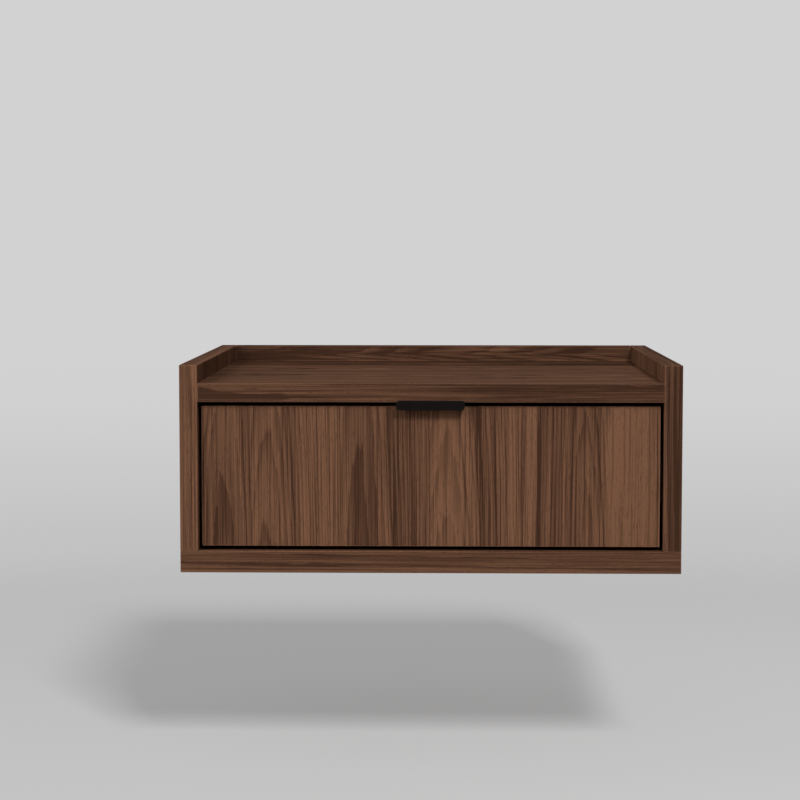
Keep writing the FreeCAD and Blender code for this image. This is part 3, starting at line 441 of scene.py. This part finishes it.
def new_material(name):
    """An empty node material and its tree."""
    material = bpy.data.materials.new(name)
    material.use_nodes = True
    material.node_tree.nodes.clear()
    return material, material.node_tree


def principled(tree, inputs):
    """Feed a Principled shader and join it to the material's output."""
    shader = step(tree, "ShaderNodeBsdfPrincipled", inputs)
    step(tree, "ShaderNodeOutputMaterial", {"Surface": shader.outputs[0]})


def bumped(tree, height, distance, strength):
    """A normal from a height."""
    return step(tree, "ShaderNodeBump",
                {"Height": height, "Distance": distance, "Strength": strength}).outputs[0]


def turned(along, across):
    """The turn that lays a board's own X along one axis and its Y along another."""
    first = AXES[along]
    second = AXES[across]
    return Matrix((first, second, first.cross(second))).transposed().to_euler()


def board_vector(tree, centre, along, across):
    """Object coordinates turned into a board's own grain, width and thickness."""
    place = step(tree, "ShaderNodeTexCoord").outputs["Object"]
    return step(tree, "ShaderNodeMapping",
                {"Vector": place, "Location": centre, "Rotation": turned(along, across)},
                vector_type="TEXTURE").outputs[0]


def worn(tree, vector, tone, edge, broken, strength):
    """A tone with lighter edges of a colour and a width, broken up into patches: wear, and on the walnut and
    the pull also a painted highlight.
    """
    rgb, width = edge
    mask = use_group(tree, "edge wear", {"Vector": vector, "Width": width, "Break": broken})["Mask"]
    return blend_colours(tree, maths(tree, "MULTIPLY", mask, strength), tone, opaque(rgb))


# Waves per metre of the noise that bends the bands of tone: along them, across them and through the board
SWAY_WAVES = (5.0, 22.0, 0.0)
# How squarely a face looks along an edge band's axis to belong to it
EDGE_FACING = 0.75


def tone_bands(tree, centre, along, across, bend, stops):
    """Broad light and dark bands side by side across a board, from places and tones, bent by slow noise.

    The ramp spans the cabinet's width, and holds each tone from -0.5 to 0.5 as a grey from 0 to 1.
    """
    vector = board_vector(tree, centre, along, across)
    width = CAD_BOX[1].x - CAD_BOX[0].x
    own = step(tree, "ShaderNodeSeparateXYZ", {0: vector}).outputs
    sway = maths(tree, "SUBTRACT", noise(tree, vector, SWAY_WAVES)[0], 0.5)
    bent = maths(tree, "MULTIPLY_ADD", sway, bend, own[1])
    bands = step(tree, "ShaderNodeValToRGB", {0: maths(tree, "MULTIPLY_ADD", bent, 1.0/width, 0.5)})
    bands.color_ramp.interpolation = "EASE"
    while len(bands.color_ramp.elements) < len(stops):
        bands.color_ramp.elements.new(0.5)
    for element, (place, tone) in zip(bands.color_ramp.elements, stops):
        element.position = place/width + 0.5
        element.color = opaque([tone + 0.5]*3)
    return maths(tree, "SUBTRACT", bands.outputs[0], 0.5)


def wood_material(name, centre, along, across, colours, values, bands=(), arris=None, stops=None):
    """A board's wood. Each band names an axis, and the edges that face along it get a grain of their own."""
    material, tree = new_material(name)
    light, dark, pore = (opaque(rgb) for rgb in colours)
    tones = {"Light": light, "Dark": dark, "Pore": pore}
    vector = board_vector(tree, centre, along, across)
    if stops:
        tones["Band"] = tone_bands(tree, centre, *stops)
    face = use_group(tree, "board grain", {"Vector": vector, **tones, **values})
    tone = face["Color"]
    rough = face["Roughness"]
    height = face["Height"]
    for axis, band_along, band_across, band_values in bands:
        leaf_middle = Vector(centre) - AXES[band_across]*values["Leaf"]/2
        strip_vector = board_vector(tree, leaf_middle, band_along, band_across)
        strip = use_group(tree, "board grain", {"Vector": strip_vector, **tones, **values, **band_values})
        normal = step(tree, "ShaderNodeTexCoord").outputs["Normal"]
        facing = step(tree, "ShaderNodeSeparateXYZ", {0: normal}).outputs[axis]
        on_edge = maths(tree, "GREATER_THAN", maths(tree, "ABSOLUTE", facing), EDGE_FACING)
        tone = blend_colours(tree, on_edge, tone, strip["Color"])
        rough = blend_values(tree, on_edge, rough, strip["Roughness"])
        height = blend_values(tree, on_edge, height, strip["Height"])
    # Lighter edges: wear, and on the walnut also a painted highlight where the arrises catch light
    if arris:
        tone = worn(tree, vector, tone, arris, broken=1.1, strength=0.75)
    normal = bumped(tree, height, distance=0.0003, strength=0.35)
    principled(tree, {"Base Color": tone, "Roughness": rough, "Specular IOR Level": 0.0,
                      "Coat Weight": 0.025, "Coat Roughness": 0.24, "Normal": normal})
    return material


def worked_material(name, rgb, along, across, values, bump, metallic=0.0, gloss=0.5, edge=None):
    """A metal, coat, rubber or plastic with the unevenness of its making, and lighter edges if given: wear,
    and on the pull also a painted highlight.
    """
    material, tree = new_material(name)
    vector = board_vector(tree, (0, 0, 0), along, across)
    made = use_group(tree, "worked surface", {"Vector": vector, "Color": opaque(rgb), **values})
    tone = made["Color"]
    if edge:
        tone = worn(tree, vector, tone, edge, broken=1.4, strength=0.5)
    normal = bumped(tree, made["Height"], distance=0.0001, strength=bump)
    principled(tree, {"Base Color": tone, "Roughness": made["Roughness"], "Metallic": metallic,
                      "Specular IOR Level": gloss, "Normal": normal})
    return material


def walnut(woods):
    """Early wood, late wood and pores of the walnut, and the colour and width of its worn edges, which are
    also a painted highlight.
    """
    return ((woods.walnut_light, woods.walnut_dark, woods.walnut_pore),
            (woods.walnut_arris, woods.arris_width))


def dress(material, *nodes):
    """Give CAD nodes one material."""
    for name in nodes:
        mesh = frame["nodes"][name].data
        mesh.materials.clear()
        mesh.materials.append(material)


def middle(node):
    """The middle of a CAD node's box."""
    low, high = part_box(node)
    return (low + high)/2


# Surfaces on grids

# Fixings of one node lie further apart than this along their axis, or across it
APART_ALONG = 0.1
APART_ACROSS = 0.01


def skin(name, grids, closed_poles=(False, False), smooth=False):
    """One mesh object over like grids of points, whose rows are closed rings. Fans may close the ends."""
    copies, rows, across = grids.shape[:3]
    index = np.arange(rows*across).reshape(rows, across)
    after = np.roll(index, -1, axis=1)
    parts = [np.stack((index[:-1], after[:-1], after[1:], index[1:]), axis=-1).reshape(-1, 4)]
    places = grids.reshape(copies, -1, 3)
    for closed, ring, order in zip(closed_poles, (0, -1), (1, -1)):
        if closed:
            hub = np.full(across, places.shape[1])
            places = np.concatenate((places, grids[:, ring].mean(axis=1, keepdims=True)), axis=1)
            parts.append(np.stack((hub, after[ring], index[ring])[::order], axis=-1))
    shifts = places.shape[1]*np.arange(copies)[:, None, None]
    faces = [face for part in parts for face in (part + shifts).reshape(-1, part.shape[1]).tolist()]
    mesh = bpy.data.meshes.new(name)
    mesh.from_pydata(places.reshape(-1, 3).tolist(), [], faces)
    mesh.validate()
    if smooth:
        mesh.shade_smooth()
        mesh.set_sharp_from_angle(angle=pi/5)
    piece = bpy.data.objects.new(name, mesh)
    bpy.context.collection.objects.link(piece)
    return piece


def clusters(values, gap):
    """Number the values by the clusters they lie in, where a gap parts one cluster from the next."""
    order = np.argsort(values)
    numbers = np.zeros(len(values), dtype=int)
    numbers[order[1:]] = np.cumsum(np.diff(values[order]) > gap)
    return numbers


def fixing_places(node, axis, heading):
    """Where the fixings of a CAD node start, which way each one points, and how long they are.

    The node's points fall into clusters, one for each fixing. A fixing points up or down its axis, or out
    from the middle of the cabinet or in towards it.
    """
    mesh = frame["nodes"][node].data
    points = np.empty(3*len(mesh.vertices), dtype=np.float32)
    mesh.vertices.foreach_get("co", points)
    points = points.reshape(-1, 3).astype(float)
    line = "XYZ".index(axis)
    gaps = [APART_ALONG if column == line else APART_ACROSS for column in range(3)]
    numbers = [clusters(points[:, column], gap) for column, gap in enumerate(gaps)]
    groups, member = np.unique(np.stack(numbers, axis=1), axis=0, return_inverse=True)
    low = np.full((len(groups), 3), np.inf)
    high = np.full((len(groups), 3), -np.inf)
    np.minimum.at(low, member.reshape(-1), points)
    np.maximum.at(high, member.reshape(-1), points)
    centres = (low + high)/2
    outward = np.where(centres[:, 0] < 0, -1, 1)
    signs = {"up": 1, "down": -1, "out": outward, "in": -outward}[heading]*np.ones(len(groups))
    starts = centres.copy()
    starts[:, line] = np.where(signs > 0, low[:, line], high[:, line])
    return starts, signs[:, None]*np.eye(3)[line], (high - low)[:, line].mean()


def placed(grid, starts, headings):
    """Copies of a grid that runs up Z from the origin, each set at a start and turned to a heading."""
    first = np.roll(headings, 1, axis=1)
    turns = np.stack((first, np.cross(headings, first), headings), axis=1)
    return np.einsum("rak,ckw->craw", grid, turns) + starts[:, None, None]


def around(sides):
    """The angles of points evenly round a circle."""
    return np.linspace(0, 2*pi, sides, endpoint=False)


def turned_grid(levels, radii, angles):
    """Rings of points round Z, with a level and radius for every row and angle."""
    levels, radii, angles = np.broadcast_arrays(levels, radii, angles)
    return np.stack((radii*np.cos(angles), radii*np.sin(angles), levels), axis=-1)


def ridges(turns, steepness):
    """One ridge in each turn, from 0 up to 1 and back: as steep as given, and level along its crest."""
    return np.clip(steepness*(0.5 - np.abs(turns % 1 - 0.5)), 0, 1)


def screw_grid(fixings, head, shank, head_deep, coned, size):
    """A screw from the floor of its hex socket to its tip, as a radius over level and angle.

    The socket's radius is its flat's distance over the cosine of the angle from the flat's middle. From the
    socket's rim the rows go out over the bevelled head and down its side or cone to the neck. On the thread
    the radius is the core's plus a ridge, which climbs by one pitch in a turn. The tip narrows to a point.
    """
    angles = around(sides=36)
    bevel = fixings.bevel*head
    flat = fixings.socket*head/2*np.cos(pi/6)
    hexagon = flat/np.cos((angles + pi/6) % (pi/3) - pi/6)
    core = fixings.core*shank/2
    ridge = shank/2 - core
    pitch = fixings.pitch*shank
    neck_end = head_deep + fixings.neck*(size - head_deep)
    thread_end = size - fixings.tip*shank
    neck = (core + shank/2)/2
    under_head = neck if coned else head/2
    head_rows = (
        (fixings.socket_deep*shank, hexagon),
        (bevel, hexagon),
        (0.0, hexagon + bevel),
        (0.0, head/2 - bevel),
        (bevel/2, head/2),
        (head_deep, under_head),
        (head_deep, neck),
        (neck_end, neck),
    )
    rows_per_turn = 8
    turns = np.arange(neck_end, size, pitch/rows_per_turn)[1:, None]
    rise = ridge*ridges(turns/pitch - angles/(2*pi), steepness=3.4)
    starting = np.clip((turns - neck_end)/pitch, 0, 1)
    least_share = 0.12
    narrowing = np.clip((size - turns)/(size - thread_end), least_share, 1)
    thread = np.where(turns < thread_end, core + rise*starting, (core + rise)*starting*narrowing)
    end_share = 0.1
    levels = np.concatenate(([[level] for level, radius in head_rows], turns, [[size]]))
    radii = np.concatenate((
        [np.broadcast_to(radius, angles.shape) for level, radius in head_rows],
        thread,
        [np.full(angles.shape, end_share*core)],
    ))
    return turned_grid(levels, radii, angles)


def pin_grid(head, shank, head_deep, size):
    """A pin from the crown of its domed head to its bevelled end: a quarter of a circle, then straight."""
    angles = around(sides=32)
    beside_pole = 0.12
    dome = np.linspace(beside_pole, pi/2, num=8)
    bevel = shank/8
    levels = np.concatenate((head_deep*(1 - np.cos(dome)), [head_deep, size - bevel, size]))
    radii = np.concatenate((head/2*np.sin(dome), [shank/2, shank/2, shank/2 - bevel]))
    return turned_grid(levels[:, None], radii[:, None], angles)


def dowel_grid(fixings, across, bevel, size):
    """A dowel from end to end, whose radius dips by the flutes' depth in grooves clear of its ends.

    The end that it starts from has a bevel of its own, which is 0 where the end is cut flush.
    """
    flute_sides = 8
    angles = around(flute_sides*fixings.flutes)
    groove = ridges(angles*fixings.flutes/(2*pi), steepness=3.2)
    far_bevel = fixings.dowel_bevel
    bevel_fall_share = 0.6
    run_out_share = 0.15
    run_out = run_out_share*across
    # Level, radius, and share of the flutes' depth
    rows = (
        (0.0, across/2 - bevel_fall_share*bevel, 0.0),
        (bevel, across/2, 0.0),
        (bevel + run_out, across/2, 1.0),
        (size - bevel - run_out, across/2, 1.0),
        (size - far_bevel, across/2, 0.0),
        (size, across/2 - bevel_fall_share*far_bevel, 0.0),
    )
    levels, radii, shares = (np.array(column)[:, None] for column in zip(*rows))
    return turned_grid(levels, radii - fixings.flute_deep*shares*groove, angles)


def stand_for(node, axis, heading, finish, shape, *sizes):
    """Let turned pieces stand for the fixings of a CAD node, with a finish and on the node's body.

    The shape is the function that makes a piece's grid from its sizes and the length of the fixings.
    """
    starts, headings, size = fixing_places(node, axis, heading)
    grids = placed(shape(*sizes, size), starts, headings)
    piece = skin(f"turned_{node}", grids, closed_poles=(True, True), smooth=True)
    piece.data.materials.append(finish)
    record = frame["record"]
    body = next(name for name, nodes in record["behaviour"]["bodies"].items() if node in nodes)
    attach(piece, body)
    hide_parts(node)


# Operators

class CABINET_OT_carcass_boards(bpy.types.Operator):
    """Dress the walnut boards of the carcass, each with its own grain"""
    bl_idname = "cabinet.carcass_boards"
    bl_label = "Carcass boards"

    def execute(self, context):
        woods = context.scene.cabinet_woods
        colours, arris = walnut(woods)
        shared = {"Ring": woods.walnut_ring, "Pith": 0.05, "Lean": 0.05, "Wander": 0.012}
        straight = {"Lean": 0.004, "Wander": 0.003}
        # Node, axes along and across the grain, edge bands, and the grain's own values
        # An edge band has the axis that it faces along, the axes of its grain, and its own values
        boards = (
            ("base_board", "X", "Y",
             (("X", "Y", "Z", {}), ("Y", "X", "Z", {"Tone": 0.04, "Contrast": 0.85, **straight})),
             {"Seed": 1.0, "Leaf": 0.21}),
            ("top_board", "X", "Y",
             (("Y", "X", "Z", {"Tone": 0.47, "Contrast": 1.15, **straight}),),
             {"Seed": 2.0, "Tone": 0.05, "Leaf": 0.0955}),
            ("gallery_rail", "X", "Z",
             (("Z", "X", "Y", {}),),
             {"Seed": 3.0, "Tone": 0.2, "Leaf": 0.1, "Contrast": 1.2}),
            ("side_board_left", "Z", "Y",
             (("Z", "Y", "X", straight), ("Y", "Z", "X", {"Tone": -0.16, "Contrast": 1.3, **straight})),
             {"Seed": 4.0, "Leaf": 0.15}),
            ("side_board_right", "Z", "Y",
             (("Z", "Y", "X", straight), ("Y", "Z", "X", {"Tone": 0.31, "Contrast": 0.85, **straight})),
             {"Seed": 5.0, "Leaf": 0.15}),
        )
        # Axes along and across the bands of tone, how far they bend, and places across with their tones
        stops = {
            "gallery_rail": ("Z", "X", 0.02, ((-0.22, 0.42), (-0.17, 0.3), (-0.09, 0.05), (0.2, -0.05))),
            "top_board": ("X", "Y", 0.0, ((0.0945, -0.06), (0.0965, 0.26))),
        }
        for node, along, across, bands, values in boards:
            dress(wood_material(f"walnut {node}", middle(node), along, across, colours, {**shared, **values},
                                bands=bands, arris=arris, stops=stops.get(node)), node)
        values = {"Ring": woods.walnut_ring, "Seed": 6.0, "Tone": -0.05, "Leaf": 0.12, "Contrast": 0.7}
        dress(wood_material("walnut back", middle("back_panel"), "X", "Z", colours, values),
              "back_panel", "hanging_stretcher")
        return {"FINISHED"}


class CABINET_OT_drawer_front(bpy.types.Operator):
    """Dress the drawer front in leaves of upright walnut grain"""
    bl_idname = "cabinet.drawer_front"
    bl_label = "Drawer front"

    def execute(self, context):
        woods = context.scene.cabinet_woods
        colours, arris = walnut(woods)
        values = {"Seed": 7.0, "Tone": -0.1, "Leaf": 0.0895, "Ring": woods.walnut_ring, "Pith": 0.06,
                  "Lean": 0.022, "Wander": 0.008, "Contrast": 1.14}
        # Axes along and across the bands of tone, how far they bend, and places across with their tones
        stops = ("Z", "X", 0.02, (
            (-0.21, -0.06), (-0.17, -0.04), (-0.14, -0.05), (-0.1, -0.2), (-0.062, -0.04), (-0.02, -0.08),
            (0.026, -0.26), (0.052, 0.2), (0.09, -0.2), (0.117, 0.2), (0.174, 0.12), (0.182, -0.5),
            (0.205, -0.46), (0.225, -0.3),
        ))
        dress(wood_material("walnut drawer front", middle("drawer_front"), "Z", "X", colours, values,
                            arris=arris, stops=stops), "drawer_front")
        return {"FINISHED"}


class CABINET_OT_edge_pull(bpy.types.Operator):
    """Dress the edge pull in black powder coat, its edges painted lighter as a little wear and a painted
    highlight
    """
    bl_idname = "cabinet.edge_pull"
    bl_label = "Edge pull"

    def execute(self, context):
        metals = context.scene.cabinet_metals
        values = {"Lines": 0.0, "Grain": 2200.0, "Spread": 0.5, "Roughness": 0.5}
        # Lighter edges of the pull: a little wear and a painted highlight
        dress(worked_material("black powder coat", metals.pull, "X", "Y", values, bump=0.25, gloss=0.06,
                              edge=(metals.pull_worn_lit_edge, metals.pull_wear)), "edge_pull")
        return {"FINISHED"}


class CABINET_OT_drawer_box(bpy.types.Operator):
    """Dress the drawer box in pale wood"""
    bl_idname = "cabinet.drawer_box"
    bl_label = "Drawer box"

    def execute(self, context):
        woods = context.scene.cabinet_woods
        birch = (woods.birch_light, woods.birch_dark, woods.birch_dark)
        arris = (woods.birch_light, woods.arris_width)
        shared = {"Leaf": 0.3, "Ring": woods.birch_ring, "Pith": 0.09, "Lean": 0.03, "Wander": 0.008,
                  "Contrast": 0.55}
        # Node, axes along and across the grain, and seed of the grain
        boards = (
            ("drawer_box_side_left", "Y", "Z", 11.0),
            ("drawer_box_side_right", "Y", "Z", 12.0),
            ("drawer_box_front", "X", "Z", 13.0),
            ("drawer_box_back", "X", "Z", 14.0),
            ("drawer_box_bottom", "X", "Y", 15.0),
        )
        for node, along, across, seed in boards:
            dress(wood_material(f"birch {node}", middle(node), along, across, birch,
                                {"Seed": seed, **shared}, arris=arris), node)
        return {"FINISHED"}


class CABINET_OT_runners(bpy.types.Operator):
    """Dress the drawer runners, their balls, cages, stops and levers"""
    bl_idname = "cabinet.runners"
    bl_label = "Runners"

    def execute(self, context):
        metals = context.scene.cabinet_metals
        coated = worked_material("black electro coat", metals.runner, "Y", "Z",
                                 {"Lines": 0.25, "Grain": 1200.0, "Spread": 0.3, "Roughness": 0.42},
                                 bump=0.12, gloss=0.35, edge=(metals.runner_edge, metals.runner_wear))
        pressed = worked_material("pressed cage steel", metals.zinc, "Y", "Z",
                                  {"Lines": 0.7, "Grain": 1200.0, "Spread": 0.16, "Roughness": 0.42},
                                  bump=0.1, metallic=1.0)
        polished = worked_material("polished balls", metals.ball, "X", "Y",
                                   {"Lines": 0.0, "Spread": 0.05, "Roughness": 0.14},
                                   bump=0.02, metallic=1.0)
        rubber = worked_material("black rubber", metals.rubber, "X", "Y",
                                 {"Lines": 0.0, "Grain": 700.0, "Spread": 0.3, "Roughness": 0.75}, bump=0.3)
        plastic = worked_material("moulded plastic", metals.plastic, "Y", "Z",
                                  {"Lines": 0.0, "Grain": 1600.0, "Spread": 0.2, "Roughness": 0.5},
                                  bump=0.15)
        for side in ("left", "right"):
            dress(coated, *(f"runner_{member}_member_{side}" for member in ("cabinet", "middle", "drawer")))
            dress(pressed, f"outer_ball_cage_{side}", f"inner_ball_cage_{side}")
            dress(polished, f"outer_balls_{side}", f"inner_balls_{side}")
            dress(rubber, f"runner_stop_{side}")
            dress(plastic, f"release_lever_{side}")
        return {"FINISHED"}


class CABINET_OT_hanging_rails(bpy.types.Operator):
    """Dress the hanging rails in drawn aluminium"""
    bl_idname = "cabinet.hanging_rails"
    bl_label = "Hanging rails"

    def execute(self, context):
        metals = context.scene.cabinet_metals
        values = {"Lines": 1.6, "Grain": 900.0, "Spread": 0.75, "Roughness": 0.36}
        dress(worked_material("mill aluminium", metals.aluminium, "X", "Z", values, bump=0.2, metallic=1.0,
                              edge=(metals.aluminium_edge, metals.aluminium_wear)),
              "wall_rail", "cabinet_rail")
        return {"FINISHED"}


class CABINET_OT_screws(bpy.types.Operator):
    """Turn the screws with their sockets and threads, and the pins of the levers"""
    bl_idname = "cabinet.screws"
    bl_label = "Screws and pins"

    def execute(self, context):
        fixings = context.scene.cabinet_fixings
        zinc = worked_material("screw zinc", context.scene.cabinet_metals.zinc, "X", "Y",
                               {"Lines": 0.2, "Grain": 1500.0, "Spread": 0.15, "Roughness": 0.32},
                               bump=0.05, metallic=1.0)
        coat = bpy.data.materials["black powder coat"]
        # Node, axis, heading, finish, diameters of head and shank, depth of the head, and coned or not
        screws = (
            ("base_screws", "Z", "up", zinc, 0.01, 0.007, 0.004, False),
            ("cabinet_rail_screws", "Y", "down", zinc, 0.008, 0.004, 0.0025, True),
            ("drawer_front_screws", "Y", "down", zinc, 0.008, 0.004, 0.0024, False),
            ("edge_pull_screws", "Z", "down", coat, 0.0065, 0.0035, 0.0025, True),
            ("runner_cabinet_screws", "X", "out", zinc, 0.0058, 0.0035, 0.0012, True),
            ("runner_drawer_screws", "X", "in", zinc, 0.0058, 0.0035, 0.0012, True),
        )
        for node, axis, heading, finish, *sizes in screws:
            stand_for(node, axis, heading, finish, screw_grid, fixings, *sizes)
        # Diameters of a pin's head and shank, and depth of its head
        pin_sizes = (0.005, 0.003, 0.001)
        stand_for("release_lever_pins", "X", "in", zinc, pin_grid, *pin_sizes)
        return {"FINISHED"}


class CABINET_OT_dowels(bpy.types.Operator):
    """Turn the fluted beech dowels of the carcass and the pegs of the drawer box"""
    bl_idname = "cabinet.dowels"
    bl_label = "Dowels and pegs"

    def execute(self, context):
        woods = context.scene.cabinet_woods
        fixings = context.scene.cabinet_fixings
        beech = (woods.beech_light, woods.beech_dark, woods.beech_dark)
        values = {"Seed": 16.0, "Leaf": 0.05, "Ring": woods.beech_ring, "Contrast": 0.5}
        lying = wood_material("beech dowels", (0, 0, 0), "X", "Y", beech, values)
        upright = wood_material("beech upright dowels", (0, 0, 0), "Z", "X", beech, values)
        # Node, axis, heading, finish, diameter, and bevel of the first end
        dowels = (
            ("top_board_dowels", "X", "in", lying, 0.008, fixings.dowel_bevel),
            ("stretcher_dowels", "X", "in", lying, 0.008, fixings.dowel_bevel),
            ("gallery_dowels", "Z", "up", upright, 0.006, fixings.dowel_bevel),
            ("drawer_box_pegs", "X", "in", lying, 0.006, 0.0),
        )
        for node, axis, heading, finish, *sizes in dowels:
            stand_for(node, axis, heading, finish, dowel_grid, fixings, *sizes)
        return {"FINISHED"}


def seen_directly(tree):
    """1 for rays of the camera, of reflections and of transmission, 0 for the rays that light surfaces."""
    path = step(tree, "ShaderNodeLightPath").outputs
    either = maths(tree, "MAXIMUM", path["Is Camera Ray"], path["Is Glossy Ray"])
    return maths(tree, "MAXIMUM", either, path["Is Transmission Ray"])


def lamp(name, place, target, watts, width, height):
    """A rectangular area light at a place, turned to a target with its width level."""
    data = bpy.data.lights.new(name, "AREA")
    data.shape = "RECTANGLE"
    data.energy = watts
    data.size = width
    data.size_y = height
    away = (Vector(place) - Vector(target)).normalized()
    wide = AXES["Z"].cross(away).normalized()
    light = bpy.data.objects.new(name, data)
    light.location = place
    light.rotation_euler = Matrix((wide, away.cross(wide), away)).transposed().to_euler()
    bpy.context.collection.objects.link(light)
    return light


def spare(light, piece):
    """Keep a lamp's light, and so its shadow, off one piece."""
    spared = bpy.data.collections.new(f"spared by {light.name}")
    spared.objects.link(piece)
    spared.collection_objects[0].light_linking.link_state = "EXCLUDE"
    light.light_linking.receiver_collection = spared


# Rise of a view, as the sine of its angle, where the surround is darkest and where it is palest
HORIZON_RISE = (-0.19, -0.05)


class CABINET_OT_stage(bpy.types.Operator):
    """Set the floor, the soft studio light and the camera"""
    bl_idname = "cabinet.stage"
    bl_label = "Stage"

    def execute(self, context):
        scene = context.scene
        stage = scene.cabinet_stage
        floor = self.floor(stage)
        self.surround(scene, stage)
        lamp("key", stage.key_place, target=(0.0, -0.2, -0.1), watts=stage.key_watts, width=1.0, height=1.2)
        side = lamp("side", stage.side_place, target=(0.0, -0.3, 0.0), watts=stage.side_watts,
                    width=1.4, height=2.4)
        spare(side, floor)
        self.camera(scene, stage)
        scene.view_settings.view_transform = "Standard"
        return {"FINISHED"}

    def surround(self, scene, stage):
        """Pale for the camera, darker towards the floor, with an even soft light for everything else."""
        world = bpy.data.worlds.new("studio")
        world.use_nodes = True
        tree = world.node_tree
        tree.nodes.clear()
        heading = step(tree, "ShaderNodeTexCoord").outputs["Generated"]
        rise = ramp(tree, step(tree, "ShaderNodeSeparateXYZ", {0: heading}).outputs["Z"], *HORIZON_RISE)
        seen = blend_colours(tree, rise, opaque(stage.horizon), opaque(stage.backdrop))
        tone = blend_colours(tree, seen_directly(tree), opaque(stage.ambient), seen)
        light = step(tree, "ShaderNodeBackground", {"Color": tone})
        step(tree, "ShaderNodeOutputWorld", {"Surface": light.outputs[0]})
        scene.world = world

    def floor(self, stage):
        """A disc below the cabinet that thins out to the surround at its rim: radius and angle on a grid."""
        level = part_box("base_board")[0].z - stage.floor_drop
        radii = np.linspace(0, stage.floor_radius, num=24)[1:, None]
        grid = turned_grid(level, radii, -around(sides=96))
        floor = skin("floor", grid[None], closed_poles=(True, False))
        material, tree = new_material("pale floor")
        place = step(tree, "ShaderNodeTexCoord").outputs["Object"]
        flat = vector_maths(tree, "MULTIPLY_ADD", {0: place, 1: (1, 1, 0), 2: (0, stage.fade_front, 0)})[0]
        far = vector_maths(tree, "LENGTH", {0: flat})["Value"]
        below = step(tree, "ShaderNodeNewGeometry").outputs["Backfacing"]
        fade = maths(tree, "MAXIMUM", ramp(tree, far, stage.fade_start, stage.fade_end), below)
        matt = step(tree, "ShaderNodeBsdfDiffuse", {"Color": opaque(stage.floor)})
        glow = step(tree, "ShaderNodeEmission", {"Color": opaque(stage.floor_glow)})
        glowing = maths(tree, "MULTIPLY", seen_directly(tree), stage.glow_share)
        lit = step(tree, "ShaderNodeMixShader", {0: glowing, 1: matt.outputs[0], 2: glow.outputs[0]})
        clear = step(tree, "ShaderNodeBsdfTransparent")
        mix = step(tree, "ShaderNodeMixShader", {0: fade, 1: lit.outputs[0], 2: clear.outputs[0]})
        step(tree, "ShaderNodeOutputMaterial", {"Surface": mix.outputs[0]})
        floor.data.materials.append(material)
        return floor

    def camera(self, scene, stage):
        """The photograph's view: a little above the cabinet and almost square to its front."""
        data = bpy.data.cameras.new("view")
        data.lens = stage.lens
        data.sensor_width = 36.0
        camera = bpy.data.objects.new("view", data)
        camera.location = stage.camera_place
        camera.rotation_euler = (pi/2 - stage.camera_tilt, 0.0, stage.camera_turn)
        scene.collection.objects.link(camera)
        scene.camera = camera


class CABINET_PT_panel(bpy.types.Panel):
    """The cabinet's steps and settings"""
    bl_idname = "CABINET_PT_panel"
    bl_label = "Cabinet"
    bl_space_type = "VIEW_3D"
    bl_region_type = "UI"
    bl_category = "Cabinet"

    def draw(self, context):
        """A button for each operator, then a box for each group of settings."""
        for operator in OPERATORS:
            self.layout.operator(operator.bl_idname)
        for group, kind in SETTINGS.items():
            box = self.layout.box()
            for name in kind.__annotations__:
                box.prop(getattr(context.scene, group), name)


OPERATORS = (
    CABINET_OT_carcass_boards,
    CABINET_OT_drawer_front,
    CABINET_OT_edge_pull,
    CABINET_OT_drawer_box,
    CABINET_OT_runners,
    CABINET_OT_hanging_rails,
    CABINET_OT_screws,
    CABINET_OT_dowels,
    CABINET_OT_stage,
)
SETTINGS = {
    "cabinet_woods": CabinetWoods,
    "cabinet_metals": CabinetMetals,
    "cabinet_fixings": CabinetFixings,
    "cabinet_stage": CabinetStage,
}
CLASSES = (*SETTINGS.values(), *OPERATORS, CABINET_PT_panel)


def register():
    """Register the classes, and give the scene a settings group of each kind."""
    for kind in CLASSES:
        bpy.utils.register_class(kind)
    for name, kind in SETTINGS.items():
        setattr(bpy.types.Scene, name, bpy.props.PointerProperty(type=kind))


def unregister():
    """Take the settings and the classes away again."""
    for name in SETTINGS:
        delattr(bpy.types.Scene, name)
    for kind in reversed(CLASSES):
        bpy.utils.unregister_class(kind)


def main():
    """Register the classes and dress the cabinet piece by piece."""
    register()
    bpy.ops.cabinet.carcass_boards()
    bpy.ops.cabinet.drawer_front()
    bpy.ops.cabinet.edge_pull()
    bpy.ops.cabinet.drawer_box()
    bpy.ops.cabinet.runners()
    bpy.ops.cabinet.hanging_rails()
    bpy.ops.cabinet.screws()
    bpy.ops.cabinet.dowels()
    bpy.ops.cabinet.stage()


if __name__ == "__main__":
    main()
